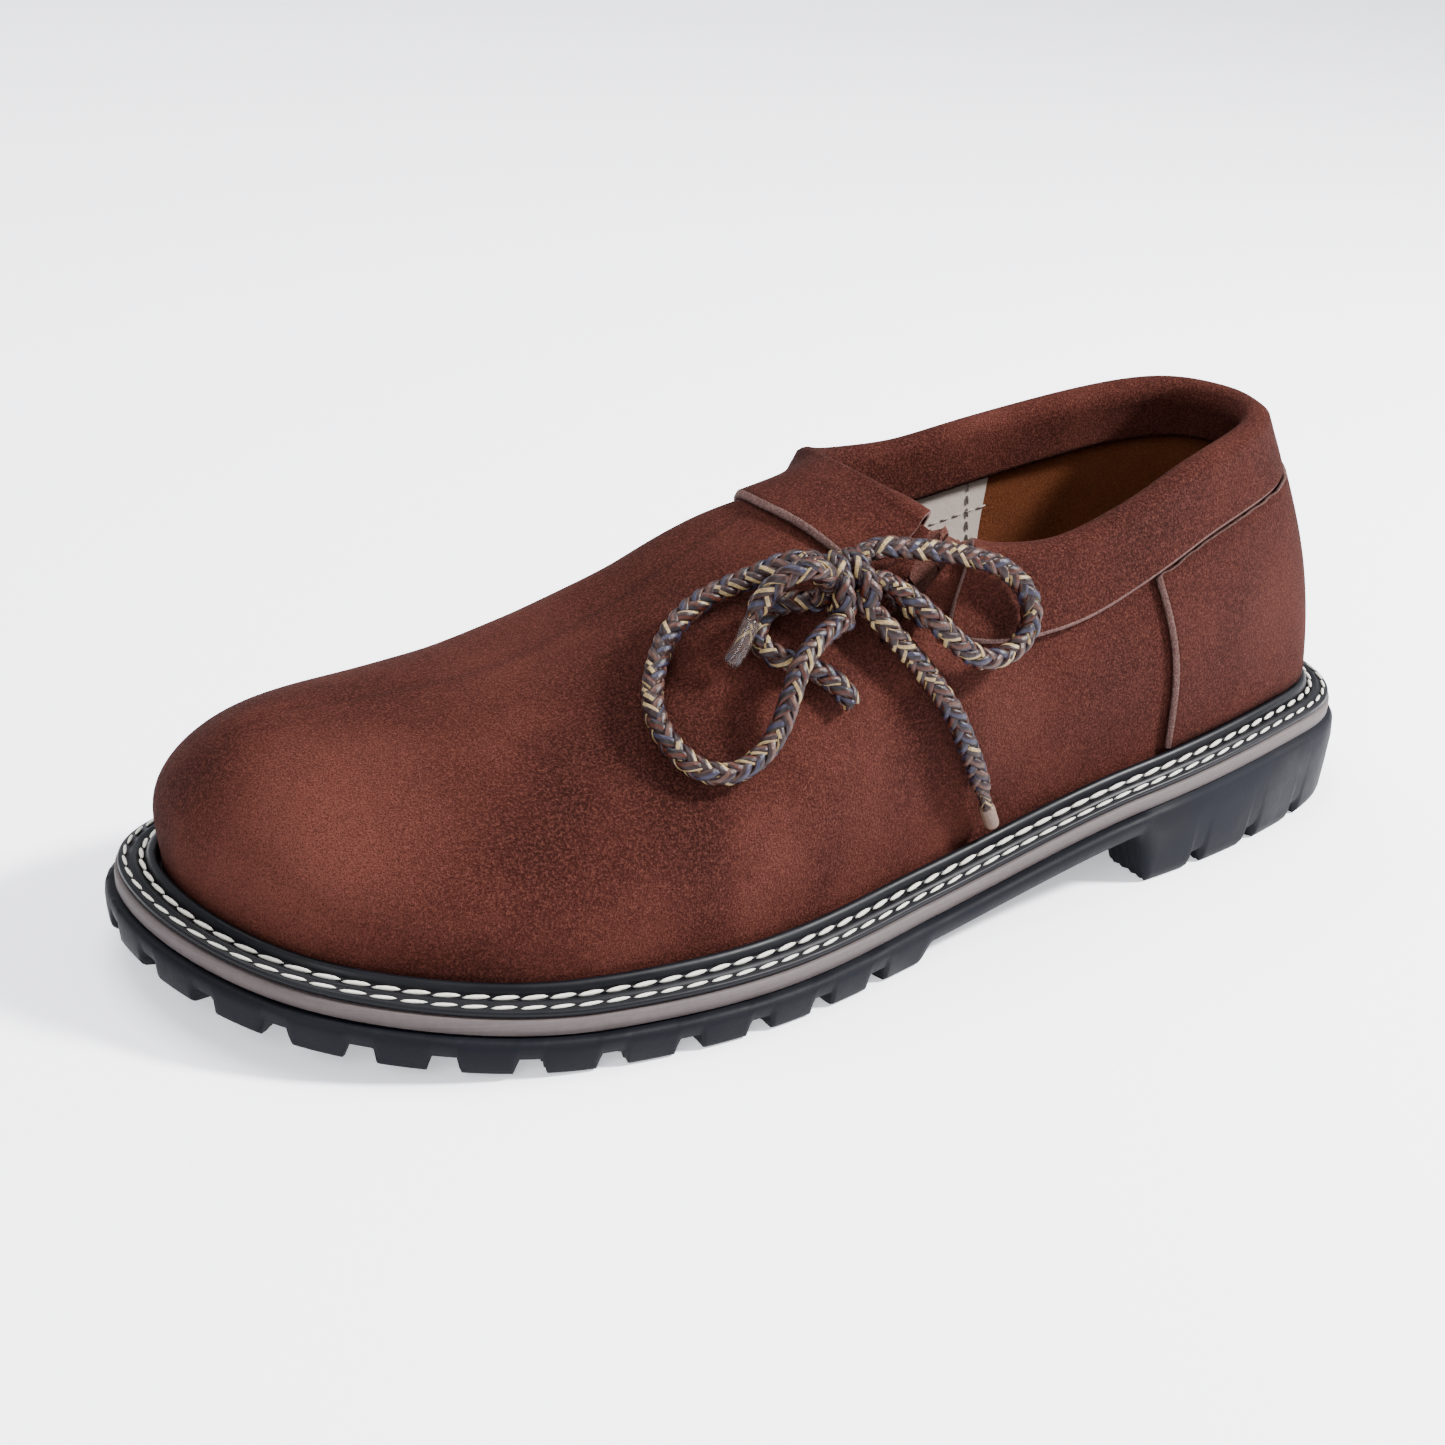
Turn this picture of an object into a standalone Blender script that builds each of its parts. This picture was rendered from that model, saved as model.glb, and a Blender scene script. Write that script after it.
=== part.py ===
"""Left shoe of a traditional kind: a low suede shoe with a corded lace, on a lugged rubber sole.

Metres, +X from heel to toe, +Y to the wearer's left (the outer side), +Z up.
The shoe is modelled with x = 0 at the back of the sole, and one empty carries all pieces to the middle.
"""
import math

import bmesh
import bpy
import numpy as np
from mathutils import Vector
from mathutils.bvhtree import BVHTree

# Driving sizes
SHOE_LENGTH = 0.300
BALL_WIDTH = 0.116
INSTEP_HEIGHT = 0.088
HEEL_LIFT = 0.0207
FOREFOOT_LIFT = 0.0076
TOE_SPRING = 0.0080
TOE_SPRING_START = 0.78
CLEARANCE = 0.0003
LAID_CLEARANCE = 0.0008

# Outsole
SOLE_FLARE = 0.0012
ARCH_LAYER = 0.0050
HEEL_BREAST = 0.085
HEEL_BREAST_SLANT = 0.005
FOREFOOT_TREAD_START = 0.157
TREAD_DEPTH = 0.0032
LUG_PITCH = 0.0160
LUG_GAP = 0.0055
SIDE_LUG_REACH = 0.0130
TREAD_CHANNEL = 0.0045
CHANNEL_RISE = 0.0007
HEEL_LUG_PITCH = 0.0200
HEEL_LUG_GAP = 0.0048
BELOW_FLOOR = 0.0070

# Midsole, welt and insole
MIDSOLE_INSET = 0.0030
MIDSOLE_THICKNESS = 0.0033
WELT_INSET = 0.0024
WELT_THICKNESS = 0.0016
WELT_RIDGE = 0.0008
WELT_BEAD_HEIGHT = 0.0042
WELT_BEAD_WIDTH = 0.0026
FEATHER_INSET = 0.0108
INSOLE_THICKNESS = 0.0025

# Upper and what is laid on it
UPPER_WALL = 0.0020
BAND_TURN_IN = 0.0110
BAND_THICKNESS = 0.0016
PANEL_THICKNESS = 0.0012
PANEL_TOP = 0.0135
TONGUE_THICKNESS = 0.0012
TONGUE_DEPTH = 0.0300
TONGUE_WIDTH = 0.0300
TONGUE_RISE = 0.0030
SLIT_WIDTH = 0.0070
SLIT_DEPTH = 0.0270
PINK_PITCH = 0.0042
PINK_DEPTH = 0.0014

# Lace: round cord, its bar across the slit and its knot
LACE = 0.0048
LACE_STEP = 2.0
LACE_ROUNDNESS = 2
BAR_DEPTH = 0.0175
KNOT_CENTRE = (0.1665, 0.0305, 0.0765)
KNOT_UP = (0.09, 0.69, 0.72)
KNOT_WIDTH = 0.0150
KNOT_THICKNESS = 0.0104
KNOT_SEGMENTS = 12
KNOT_ROWS = 6

# Sole outline: share of the length, outer side and inner side as shares of the ball width
OUTLINE = (
    # share, outer, inner
    (0.012, 0.118, -0.144),
    (0.045, 0.221, -0.247),
    (0.110, 0.298, -0.308),
    (0.212, 0.362, -0.322),
    (0.354, 0.400, -0.300),
    (0.475, 0.434, -0.310),
    (0.576, 0.496, -0.365),
    (0.667, 0.532, -0.430),
    (0.748, 0.526, -0.478),
    (0.828, 0.486, -0.478),
    (0.899, 0.408, -0.420),
    (0.955, 0.296, -0.325),
    (0.988, 0.145, -0.210),
)
HEEL_POINT = -0.013
TOE_POINT = -0.074

# Underside of the midsole: share of the length, share of the rise from forefoot to heel
SEAT = (
    # share, rise
    (0.000, 0.90),
    (0.110, 1.00),
    (0.293, 0.76),
    (0.495, 0.10),
    (0.657, 0.00),
    (1.000, 0.00),
)

# Crest of the vamp from throat to toe: shares of length, ball width and instep height
CREST = (
    # along, across, height
    (0.495, -0.010, 0.985),
    (0.556, -0.020, 0.930),
    (0.616, -0.030, 0.818),
    (0.677, -0.040, 0.706),
    (0.737, -0.055, 0.628),
    (0.798, -0.065, 0.594),
    (0.859, -0.075, 0.584),
    (0.884, -0.075, 0.576),
)

# Ribs of the vamp: foot as a share of the length, place on the crest, roundness, bulge share of ball width
VAMP = (
    # foot, crest, roundness, bulge
    (0.540, 0.000, 2.00, 0.030),
    (0.646, 0.260, 2.05, 0.030),
    (0.748, 0.520, 2.20, 0.030),
    (0.848, 0.780, 2.40, 0.028),
    (0.929, 0.940, 2.55, 0.026),
    (0.964, 1.000, 2.60, 0.026),
)

# Ribs of the quarters: foot and top along, top across, top height, share of upright wall, bulge
QUARTER_OUTER = (
    # foot, along, across, height, wall, bulge
    (0.036, 0.118, -0.008, 1.035, 1.00, 0.006),
    (0.046, 0.127, 0.088, 1.035, 1.00, 0.006),
    (0.074, 0.154, 0.152, 1.025, 1.00, 0.008),
    (0.110, 0.190, 0.186, 1.005, 1.00, 0.010),
    (0.192, 0.240, 0.216, 0.970, 1.00, 0.018),
    (0.253, 0.303, 0.252, 0.908, 1.00, 0.026),
    (0.354, 0.384, 0.272, 0.855, 0.95, 0.032),
    (0.445, 0.445, 0.258, 0.872, 0.75, 0.032),
    (0.500, 0.480, 0.160, 0.955, 0.35, 0.030),
    (0.540, 0.495, -0.010, 0.985, 0.00, 0.030),
)
QUARTER_INNER = (
    # foot, along, across, height, wall, bulge
    (0.036, 0.118, -0.008, 1.035, 1.00, 0.006),
    (0.046, 0.127, -0.104, 1.032, 1.00, 0.008),
    (0.074, 0.154, -0.170, 1.018, 1.00, 0.010),
    (0.110, 0.190, -0.204, 0.995, 1.00, 0.012),
    (0.192, 0.240, -0.232, 0.960, 1.00, 0.020),
    (0.253, 0.303, -0.250, 0.920, 1.00, 0.026),
    (0.354, 0.384, -0.255, 0.880, 0.95, 0.030),
    (0.445, 0.445, -0.235, 0.895, 0.75, 0.030),
    (0.500, 0.480, -0.145, 0.955, 0.35, 0.030),
    (0.540, 0.495, -0.010, 0.985, 0.00, 0.030),
)
SLIT_FOOT = 0.485
PANEL_FRONT_FOOT = 0.254

# Width of the collar band round the collar: share of its travel from the slit, width in metres
BAND_WIDTHS = (
    # travel, width
    (0.00, 0.0190),
    (0.10, 0.0150),
    (0.20, 0.0135),
    (0.70, 0.0135),
    (0.86, 0.0190),
    (1.00, 0.0200),
)

# Where the cords leave the knot: ways along the shoe, down its outer side and off its surface
KNOT_WAYS = {
    # cord: first way, last way if it comes back to the knot
    "lace_loop_front": ((0.65, -0.75, 0.00), (0.40, 0.92, 0.00)),
    "lace_loop_rear": ((-0.70, -0.66, 0.10), (-0.95, 0.13, 0.10)),
    "lace_end_front": ((0.82, -0.04, 0.42),),
    "lace_end_rear": ((-0.46, 0.88, -0.08),),
    "lace_tail": ((0.88, 0.19, -0.31),),
}

# Places of the cords' middle on the shoe, from the knot outwards, in metres
LACE_ROUTES = {
    "lace_loop_front": (
        (0.1755, 0.0228, 0.0793), (0.1805, 0.0203, 0.0766), (0.1860, 0.0182, 0.0738),
        (0.1920, 0.0172, 0.0710), (0.1985, 0.0187, 0.0672), (0.2040, 0.0228, 0.0632),
        (0.2085, 0.0285, 0.0592), (0.2105, 0.0345, 0.0555), (0.2093, 0.0405, 0.0517),
        (0.2055, 0.0446, 0.0492), (0.2000, 0.0464, 0.0492), (0.1943, 0.0462, 0.0518),
        (0.1900, 0.0450, 0.0560), (0.1872, 0.0436, 0.0612), (0.1838, 0.0415, 0.0662),
        (0.1785, 0.0392, 0.0698),
    ),
    "lace_loop_rear": (
        (0.1565, 0.0290, 0.0822), (0.1505, 0.0302, 0.0814), (0.1440, 0.0318, 0.0805),
        (0.1380, 0.0340, 0.0792), (0.1325, 0.0359, 0.0773), (0.1282, 0.0373, 0.0741),
        (0.1257, 0.0386, 0.0700), (0.1259, 0.0399, 0.0657), (0.1290, 0.0411, 0.0622),
        (0.1338, 0.0419, 0.0605), (0.1394, 0.0421, 0.0608), (0.1450, 0.0417, 0.0643),
        (0.1503, 0.0402, 0.0692), (0.1545, 0.0368, 0.0735),
    ),
    "lace_end_front": (
        (0.1748, 0.0340, 0.0812), (0.1785, 0.0345, 0.0825), (0.1822, 0.0334, 0.0815),
        (0.1855, 0.0321, 0.0787), (0.1878, 0.0314, 0.0750), (0.1896, 0.0315, 0.0712),
        (0.1914, 0.0320, 0.0676), (0.1932, 0.0317, 0.0645),
    ),
    "lace_end_rear": (
        (0.1603, 0.0372, 0.0686), (0.1560, 0.0386, 0.0638), (0.1518, 0.0400, 0.0590),
        (0.1485, 0.0415, 0.0545), (0.1450, 0.0426, 0.0495), (0.1420, 0.0431, 0.0440),
        (0.1390, 0.0431, 0.0385), (0.1355, 0.0426, 0.0320), (0.1325, 0.0417, 0.0265),
        (0.1298, 0.0409, 0.0218),
    ),
    "lace_tail": (
        (0.1775, 0.0276, 0.0730), (0.1815, 0.0270, 0.0723), (0.1850, 0.0282, 0.0696),
        (0.1863, 0.0312, 0.0670), (0.1842, 0.0347, 0.0652), (0.1802, 0.0372, 0.0641),
        (0.1765, 0.0394, 0.0622), (0.1737, 0.0417, 0.0598), (0.1722, 0.0437, 0.0571),
    ),
}

SOLE_POINTS = 40
RIB_COUNT = 44
RIB_ROWS = 9
PANEL_ROWS = 6
BAND_STEP = 0.0060
BAND_WALKS = 20
SHARP_ANGLE = 40
JOIN_DISTANCE = 0.00002
OUTLINE_POINTS = 800
EDGE_POINTS = 400
CUTTER_MARGIN = 0.0040
CURVE_READS = 16
SKIN_STRIDE = 0.0010
SKIN_REACH = 0.0040


def table_value(table, column, share):
    """Smooth value of one column at a share of the first column, without overshoot."""
    keys = np.array([row[0] for row in table])
    values = np.array([row[column] for row in table])
    steps = np.diff(keys)
    slopes = np.diff(values) / steps
    tangents = np.zeros(len(keys))
    for i in range(1, len(keys) - 1):
        if slopes[i - 1] * slopes[i] > 0:
            w1 = 2 * steps[i] + steps[i - 1]
            w2 = steps[i] + 2 * steps[i - 1]
            tangents[i] = (w1 + w2) / (w1 / slopes[i - 1] + w2 / slopes[i])
    tangents[0] = slopes[0]
    tangents[-1] = slopes[-1]
    at = np.clip(share, keys[0], keys[-1])
    i = np.clip(np.searchsorted(keys, at, side="right") - 1, 0, len(keys) - 2)
    h = steps[i]
    t = (at - keys[i]) / h
    return (values[i] * (2 * t**3 - 3 * t**2 + 1) + h * tangents[i] * (t**3 - 2 * t**2 + t)
            + values[i + 1] * (3 * t**2 - 2 * t**3) + h * tangents[i + 1] * (t**3 - t**2))


def closed_curve(points, count):
    """Closed smooth curve through a few points."""
    p = np.asarray(points, float)
    n = len(p)
    gap = np.linalg.norm(np.roll(p, -1, 0) - p, axis=1)
    start = np.concatenate([[0.0], np.cumsum(gap)])
    matrix = np.zeros((n, n))
    right = np.zeros((n, 2))
    for i in range(n):
        before = gap[i - 1]
        after = gap[i]
        j = (i + 1) % n
        matrix[i, i - 1] += before
        matrix[i, i] += 2 * (before + after)
        matrix[i, j] += after
        right[i] = 6 * ((p[j] - p[i]) / after - (p[i] - p[i - 1]) / before)
    bend = np.linalg.solve(matrix, right)
    u = np.linspace(0, start[-1], count, endpoint=False)
    i = np.clip(np.searchsorted(start, u, side="right") - 1, 0, n - 1)
    j = (i + 1) % n
    a = (u - start[i])[:, None]
    h = gap[i][:, None]
    return (bend[i] * (h - a)**3 / (6 * h) + bend[j] * a**3 / (6 * h)
            + (p[i] / h - bend[i] * h / 6) * (h - a) + (p[j] / h - bend[j] * h / 6) * a)


def sole_outline():
    """Dense outline of the sole, from the back of the heel along the inner side to the toe and back."""
    inner = [(row[0] * SHOE_LENGTH, row[2] * BALL_WIDTH) for row in OUTLINE]
    outer = [(row[0] * SHOE_LENGTH, row[1] * BALL_WIDTH) for row in OUTLINE]
    points = [(0.0, HEEL_POINT * BALL_WIDTH)] + inner + [(SHOE_LENGTH, TOE_POINT * BALL_WIDTH)] + outer[::-1]
    return closed_curve(points, OUTLINE_POINTS)


DENSE = sole_outline()
CENTRE = (DENSE.max(0) + DENSE.min(0)) / 2


def outward(curve):
    """Outward unit normals of a closed curve that runs anticlockwise."""
    tangent = np.roll(curve, -1, 0) - np.roll(curve, 1, 0)
    tangent /= np.linalg.norm(tangent, axis=1)[:, None]
    return np.stack([tangent[:, 1], -tangent[:, 0]], -1)


def ring(inset, per_side):
    """Outline moved in by inset, with as many even steps on the inner side as on the outer side."""
    curve = DENSE - outward(DENSE) * inset
    heel = int(np.argmin(curve[:, 0]))
    curve = np.roll(curve, -heel, 0)
    toe = int(np.argmax(curve[:, 0]))
    halves = (curve[:toe + 1], np.vstack([curve[toe:], curve[:1]]))
    result = []
    for half in halves:
        length = np.concatenate([[0.0], np.cumsum(np.linalg.norm(np.diff(half, axis=0), axis=1))])
        at = np.linspace(0, length[-1], per_side + 1)[:-1]
        result.append(np.stack([np.interp(at, length, half[:, 0]), np.interp(at, length, half[:, 1])], -1))
    return np.vstack(result)


def seat_height(x):
    """Height of the underside of the midsole above the floor."""
    share = np.asarray(x) / SHOE_LENGTH
    rise = (HEEL_LIFT - FOREFOOT_LIFT) * table_value(SEAT, 1, share)
    return FOREFOOT_LIFT + rise + toe_rise(x)


def toe_rise(x):
    """How far the toe spring lifts the sole at x."""
    share = np.clip((np.asarray(x) / SHOE_LENGTH - TOE_SPRING_START) / (1 - TOE_SPRING_START), 0, 1)
    return TOE_SPRING * share**1.6


def welt_floor(x):
    """Height of the upper face of the midsole."""
    return seat_height(x) + MIDSOLE_THICKNESS


def with_height(flat, height):
    """Three-dimensional ring from a flat ring and its heights."""
    return np.column_stack([flat, height])


def real_point(along, across, height):
    """Point from shares of length, ball width and instep height."""
    return np.array([along * SHOE_LENGTH, across * BALL_WIDTH, height * INSTEP_HEIGHT])


def rib_shape(side, foot):
    """Top of one rib of the upper, its roundness, its share of upright wall and its bulge."""
    if foot < VAMP[0][0]:
        table = QUARTER_OUTER if side > 0 else QUARTER_INNER
        top = real_point(*(table_value(table, column, foot) for column in (1, 2, 3)))
        return top, VAMP[0][2], table_value(table, 4, foot), table_value(table, 5, foot)
    along = CREST[0][0] + table_value(VAMP, 1, foot) * (CREST[-1][0] - CREST[0][0])
    top = real_point(along, table_value(CREST, 1, along), table_value(CREST, 2, along))
    return top, table_value(VAMP, 2, foot), 0.0, table_value(VAMP, 3, foot)


def upper_ribs(per_side, rows):
    """Grid of points of the upper's outer face: ribs round the foot edge, rows from there to the top."""
    feet = ring(FEATHER_INSET, per_side)
    ways = outward(feet)
    count = 2 * per_side
    grid = np.zeros((count, rows + 1, 3))
    w = np.linspace(0, 1, rows + 1)
    for k in range(count):
        side = -1 if k < per_side else 1
        share = (feet[k, 0] + feet[-k % count, 0]) / 2 / SHOE_LENGTH
        top, roundness, wall, bulge = rib_shape(side, share)
        low = welt_floor(feet[k, 0]) + CLEARANCE
        power = 2.0 / roundness
        up = (1 - wall) * np.sin(w * math.pi / 2)**power + wall * w
        across = (1 - wall) * (1 - np.cos(w * math.pi / 2).clip(0)**power) + wall * w**1.6
        out = bulge * BALL_WIDTH * np.sin(math.pi * up)**2
        grid[k, :, :2] = feet[k] + np.outer(across, top[:2] - feet[k]) + np.outer(out, ways[k])
        grid[k, :, 2] = low + (top[2] - low) * up
    return grid


def material(name, colour, roughness):
    """Principled material."""
    made = bpy.data.materials.new(name)
    made.use_nodes = True
    shader = made.node_tree.nodes["Principled BSDF"]
    shader.inputs["Base Color"].default_value = (*colour, 1.0)
    shader.inputs["Roughness"].default_value = roughness
    shader.inputs["Metallic"].default_value = 0.0
    made.diffuse_color = (*colour, 1.0)
    return made


def add_mesh(name, points, faces, finish=None):
    """Object from points and faces, shaded smooth with sharp edges kept, carried by the shoe's empty."""
    mesh = bpy.data.meshes.new(name)
    mesh.from_pydata([tuple(map(float, point)) for point in points], [], faces)
    bm = bmesh.new()
    bm.from_mesh(mesh)
    bmesh.ops.remove_doubles(bm, verts=bm.verts, dist=JOIN_DISTANCE)
    bm.to_mesh(mesh)
    bm.free()
    mesh.shade_smooth()
    mesh.set_sharp_from_angle(angle=math.radians(SHARP_ANGLE))
    made = bpy.data.objects.new(name, mesh)
    if finish is None:
        made.hide_render = True
        made.display_type = "WIRE"
        CUTTERS.objects.link(made)
    else:
        mesh.materials.append(finish)
        SHOE.objects.link(made)
    made.parent = CARRIER
    return made


def walls(levels, count, closed):
    """Faces between rings laid one over another, going round each ring, and back to the first if closed."""
    faces = []
    for level in range(levels if closed else levels - 1):
        low = level * count
        high = (level + 1) % levels * count
        for k in range(count):
            n = (k + 1) % count
            faces.append((low + k, low + n, high + n, high + k))
    return faces


def lid(first, count):
    """Faces across the width of one ring, seen from above."""
    faces = [(first, first + 1, first + count - 1)]
    for k in range(1, count // 2 - 1):
        faces.append((first + k, first + k + 1, first + count - k - 1, first + count - k))
    half = count // 2
    faces.append((first + half - 1, first + half, first + half + 1))
    return faces


def stack(name, rings, finish):
    """Closed plate from rings laid one over another."""
    count = len(rings[0])
    faces = walls(len(rings), count, False) + lid((len(rings) - 1) * count, count)
    faces += [face[::-1] for face in lid(0, count)]
    return add_mesh(name, np.vstack(rings), faces, finish)


def cut(target, cutter, solver="EXACT"):
    """Boolean difference."""
    step = target.modifiers.new(cutter.name, "BOOLEAN")
    step.operation = "DIFFERENCE"
    step.solver = solver
    step.object = cutter


def thicken(target, thickness, offset):
    """Solidify with an even wall."""
    step = target.modifiers.new("wall", "SOLIDIFY")
    step.thickness = thickness
    step.offset = offset
    step.use_even_offset = True
    step.use_quality_normals = True


def box_points(origin, way, reach, width, low, high):
    """Corners of an upright box that starts at origin and runs along a flat direction."""
    side = np.array([-way[1], way[0]]) * width / 2
    ends = (origin - side, origin + way * reach - side, origin + way * reach + side, origin + side)
    return [(*end, low) for end in ends] + [(*end, high) for end in ends]


def boxes(name, rows):
    """Cutter of several separate boxes."""
    corner_faces = ((3, 2, 1, 0), (4, 5, 6, 7), (0, 1, 5, 4), (1, 2, 6, 5), (2, 3, 7, 6), (3, 0, 4, 7))
    points = []
    faces = []
    for row in rows:
        first = len(points)
        points += box_points(*row)
        faces += [tuple(first + c for c in face) for face in corner_faces]
    return add_mesh(name, points, faces)


def tread_top(x):
    """Height of the ground of the tread."""
    return toe_rise(x) + TREAD_DEPTH


def side_gaps():
    """Gaps between the lugs round the edge of the forefoot and of the heel."""
    edge = ring(0.0, EDGE_POINTS)
    ways = outward(edge)
    travel = np.concatenate([[0.0], np.cumsum(np.linalg.norm(np.diff(edge, axis=0), axis=1))])
    total = travel[-1] + np.linalg.norm(edge[0] - edge[-1])
    toe = travel[EDGE_POINTS]
    rows = []
    runs = ((toe, 1, LUG_PITCH, LUG_GAP), (toe, -1, LUG_PITCH, LUG_GAP),
            (0.0, 1, HEEL_LUG_PITCH, HEEL_LUG_GAP), (0.0, -1, HEEL_LUG_PITCH, HEEL_LUG_GAP))
    for start, way, pitch, width in runs:
        for step in range(int(total / pitch)):
            at = start + way * (step + 0.5) * pitch
            k = int(np.argmin(abs(travel - at % total)))
            x = edge[k, 0]
            if start == toe and x < FOREFOOT_TREAD_START + LUG_GAP:
                break
            if start == 0.0 and x > HEEL_BREAST - LUG_GAP:
                break
            outside = edge[k] + ways[k] * CUTTER_MARGIN
            rows.append((outside, -ways[k], SIDE_LUG_REACH + CUTTER_MARGIN, width, -BELOW_FLOOR,
                         float(tread_top(x))))
    return boxes("side_gaps", rows)


def cross_gaps():
    """Gaps across the middle of the tread."""
    inner = ring(SIDE_LUG_REACH + TREAD_CHANNEL / 2, EDGE_POINTS)
    rows = []
    inset = SIDE_LUG_REACH + TREAD_CHANNEL
    runs = ((FOREFOOT_TREAD_START, SHOE_LENGTH - inset, LUG_PITCH, LUG_GAP),
            (inset, HEEL_BREAST, HEEL_LUG_PITCH, HEEL_LUG_GAP))
    for first, last, pitch, width in runs:
        count = int((last - first) / pitch)
        for step in range(count):
            x = first + (step + 0.5) * (last - first) / count
            low = inner[:EDGE_POINTS][np.argmin(abs(inner[:EDGE_POINTS, 0] - x))]
            high = inner[EDGE_POINTS:][np.argmin(abs(inner[EDGE_POINTS:, 0] - x))]
            rows.append((np.array([x, low[1]]), np.array([0.0, 1.0]), high[1] - low[1], width, -BELOW_FLOOR,
                         float(tread_top(x))))
    return boxes("cross_gaps", rows)


def tread_channel():
    """Groove between the lugs of the edge and those of the middle."""
    out = ring(SIDE_LUG_REACH, 30)
    into = ring(SIDE_LUG_REACH + TREAD_CHANNEL, 30)
    floor = np.full(60, -BELOW_FLOOR)
    rings = (with_height(out, floor), with_height(out, tread_top(out[:, 0]) - CHANNEL_RISE),
             with_height(into, tread_top(into[:, 0]) - CHANNEL_RISE), with_height(into, floor))
    return add_mesh("tread_channel", np.vstack(rings), walls(4, 60, True))


def arch_cutter():
    """Space under the arch, from the breast of the heel to the tread of the forefoot."""
    profile = [(HEEL_BREAST, -BELOW_FLOOR), (FOREFOOT_TREAD_START, -BELOW_FLOOR)]
    for x in np.linspace(FOREFOOT_TREAD_START - CUTTER_MARGIN, HEEL_BREAST + HEEL_BREAST_SLANT, 9):
        profile.append((x, float(seat_height(x)) - ARCH_LAYER))
    count = len(profile)
    half = BALL_WIDTH
    points = [(x, -half, z) for x, z in profile] + [(x, half, z) for x, z in profile]
    faces = [tuple(range(count)), tuple(range(2 * count - 1, count - 1, -1))]
    for k in range(count):
        n = (k + 1) % count
        faces.append((n, k, count + k, count + n))
    return add_mesh("arch_space", points, faces)


def upper_skin(grid):
    """Outer face of the upper as a search tree."""
    points = [Vector(point) for point in np.vstack([grid[:, row] for row in range(RIB_ROWS + 1)])]
    return BVHTree.FromPolygons(points, walls(RIB_ROWS + 1, 2 * RIB_COUNT, False))


def collar_edge(grid):
    """Collar edge from the middle of the slit, round the heel and the inner side, over the instep and back."""
    count = len(grid)
    share = (grid[:, 0, 0] + grid[-np.arange(count) % count, 0, 0]) / 2 / SHOE_LENGTH
    outer = [k for k in range(count // 2 + 1, count) if share[k] < VAMP[0][0]]
    inner = [k for k in range(count // 2) if share[k] < VAMP[0][0]]
    line = [grid[k, -1] for k in outer + inner] + [real_point(*CREST[0])]
    slit = sum(share[k] > SLIT_FOOT for k in outer)
    line = np.array(line[slit:] + line[:slit + 1])
    travel = np.concatenate([[0.0], np.cumsum(np.linalg.norm(np.diff(line, axis=0), axis=1))])
    return line, travel


def edge_point(edge, at):
    """Point of the collar edge at a travel from the slit, which may be negative."""
    line, travel = edge
    at = at % travel[-1]
    return Vector([float(np.interp(at, travel, line[:, axis])) for axis in range(3)])


def below_collar(skin, edge, stations, distances):
    """Points on the upper straight below stations of the collar edge, and its outward normals there."""
    points = np.zeros((len(stations), len(distances), 3))
    for i, at in enumerate(stations):
        place = edge_point(edge, at)
        along = (edge_point(edge, at + SKIN_REACH) - edge_point(edge, at - SKIN_REACH)).normalized()
        normal = skin.find_nearest(place)[1]
        gone = 0.0
        for k, distance in enumerate(distances):
            while gone < distance - 1e-9:
                stride = min(SKIN_STRIDE, distance - gone)
                down = along.cross(normal).normalized()
                place, normal = skin.find_nearest(place + down * stride)[:2]
                gone += stride
            points[i, k] = place
    along = np.gradient(points, axis=0)
    down = np.gradient(points, axis=1)
    normals = np.cross(down, along)
    normals /= np.linalg.norm(normals, axis=2)[:, :, None]
    return points, normals


def at_depths(points, walk, depths):
    """Points read from even walks down the upper, at depths that differ from station to station."""
    return np.array([[[np.interp(depth, walk, row[:, axis]) for axis in range(3)] for depth in line]
                     for row, line in zip(points, depths)])


def sheet_faces(columns, rows):
    """Faces of a grid whose points are listed column by column."""
    return [(i * rows + k, i * rows + k + 1, (i + 1) * rows + k + 1, (i + 1) * rows + k)
            for i in range(columns - 1) for k in range(rows - 1)]


def make_outsole():
    """Moulded rubber sole with its heel and lugs in one."""
    top = ring(SOLE_FLARE, SOLE_POINTS)
    widest = ring(0.0, SOLE_POINTS)
    foot = ring(SOLE_FLARE, SOLE_POINTS)
    rings = (with_height(foot, toe_rise(foot[:, 0])),
             with_height(widest, seat_height(widest[:, 0]) - ARCH_LAYER + 0.0015),
             with_height(top, seat_height(top[:, 0]) - CLEARANCE))
    sole = stack("outsole", rings, RUBBER)
    for cutter in (arch_cutter(), tread_channel(), side_gaps(), cross_gaps()):
        cut(sole, cutter, "MANIFOLD")


def make_midsole():
    """Light layer between the rubber and the welt."""
    edge = ring(MIDSOLE_INSET, SOLE_POINTS)
    low = seat_height(edge[:, 0])
    stack("midsole", (with_height(edge, low), with_height(edge, low + MIDSOLE_THICKNESS)), MIDSOLE)


def make_welt():
    """Black storm welt all round: flat stitched edge, ridge, groove and the bead against the upper."""
    top = WELT_THICKNESS
    inner = FEATHER_INSET - 2 * CLEARANCE
    bead = inner - WELT_BEAD_WIDTH
    profile = (
        (WELT_INSET, CLEARANCE),
        (WELT_INSET, top),
        (WELT_INSET + 0.0022, top + 0.0002),
        (WELT_INSET + 0.0030, top + WELT_RIDGE),
        (WELT_INSET + 0.0036, top + 0.0003),
        (bead - 0.0004, top + 0.0006),
        (bead + 0.0004, WELT_BEAD_HEIGHT - 0.0005),
        (bead + 0.0011, WELT_BEAD_HEIGHT),
        (inner - 0.0010, WELT_BEAD_HEIGHT - 0.0002),
        (inner, CLEARANCE),
    )
    rings = []
    for inset, height in profile:
        edge = ring(inset, SOLE_POINTS)
        rings.append(with_height(edge, welt_floor(edge[:, 0]) + height))
    add_mesh("welt", np.vstack(rings), walls(len(rings), 2 * SOLE_POINTS, True), WELT)


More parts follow.
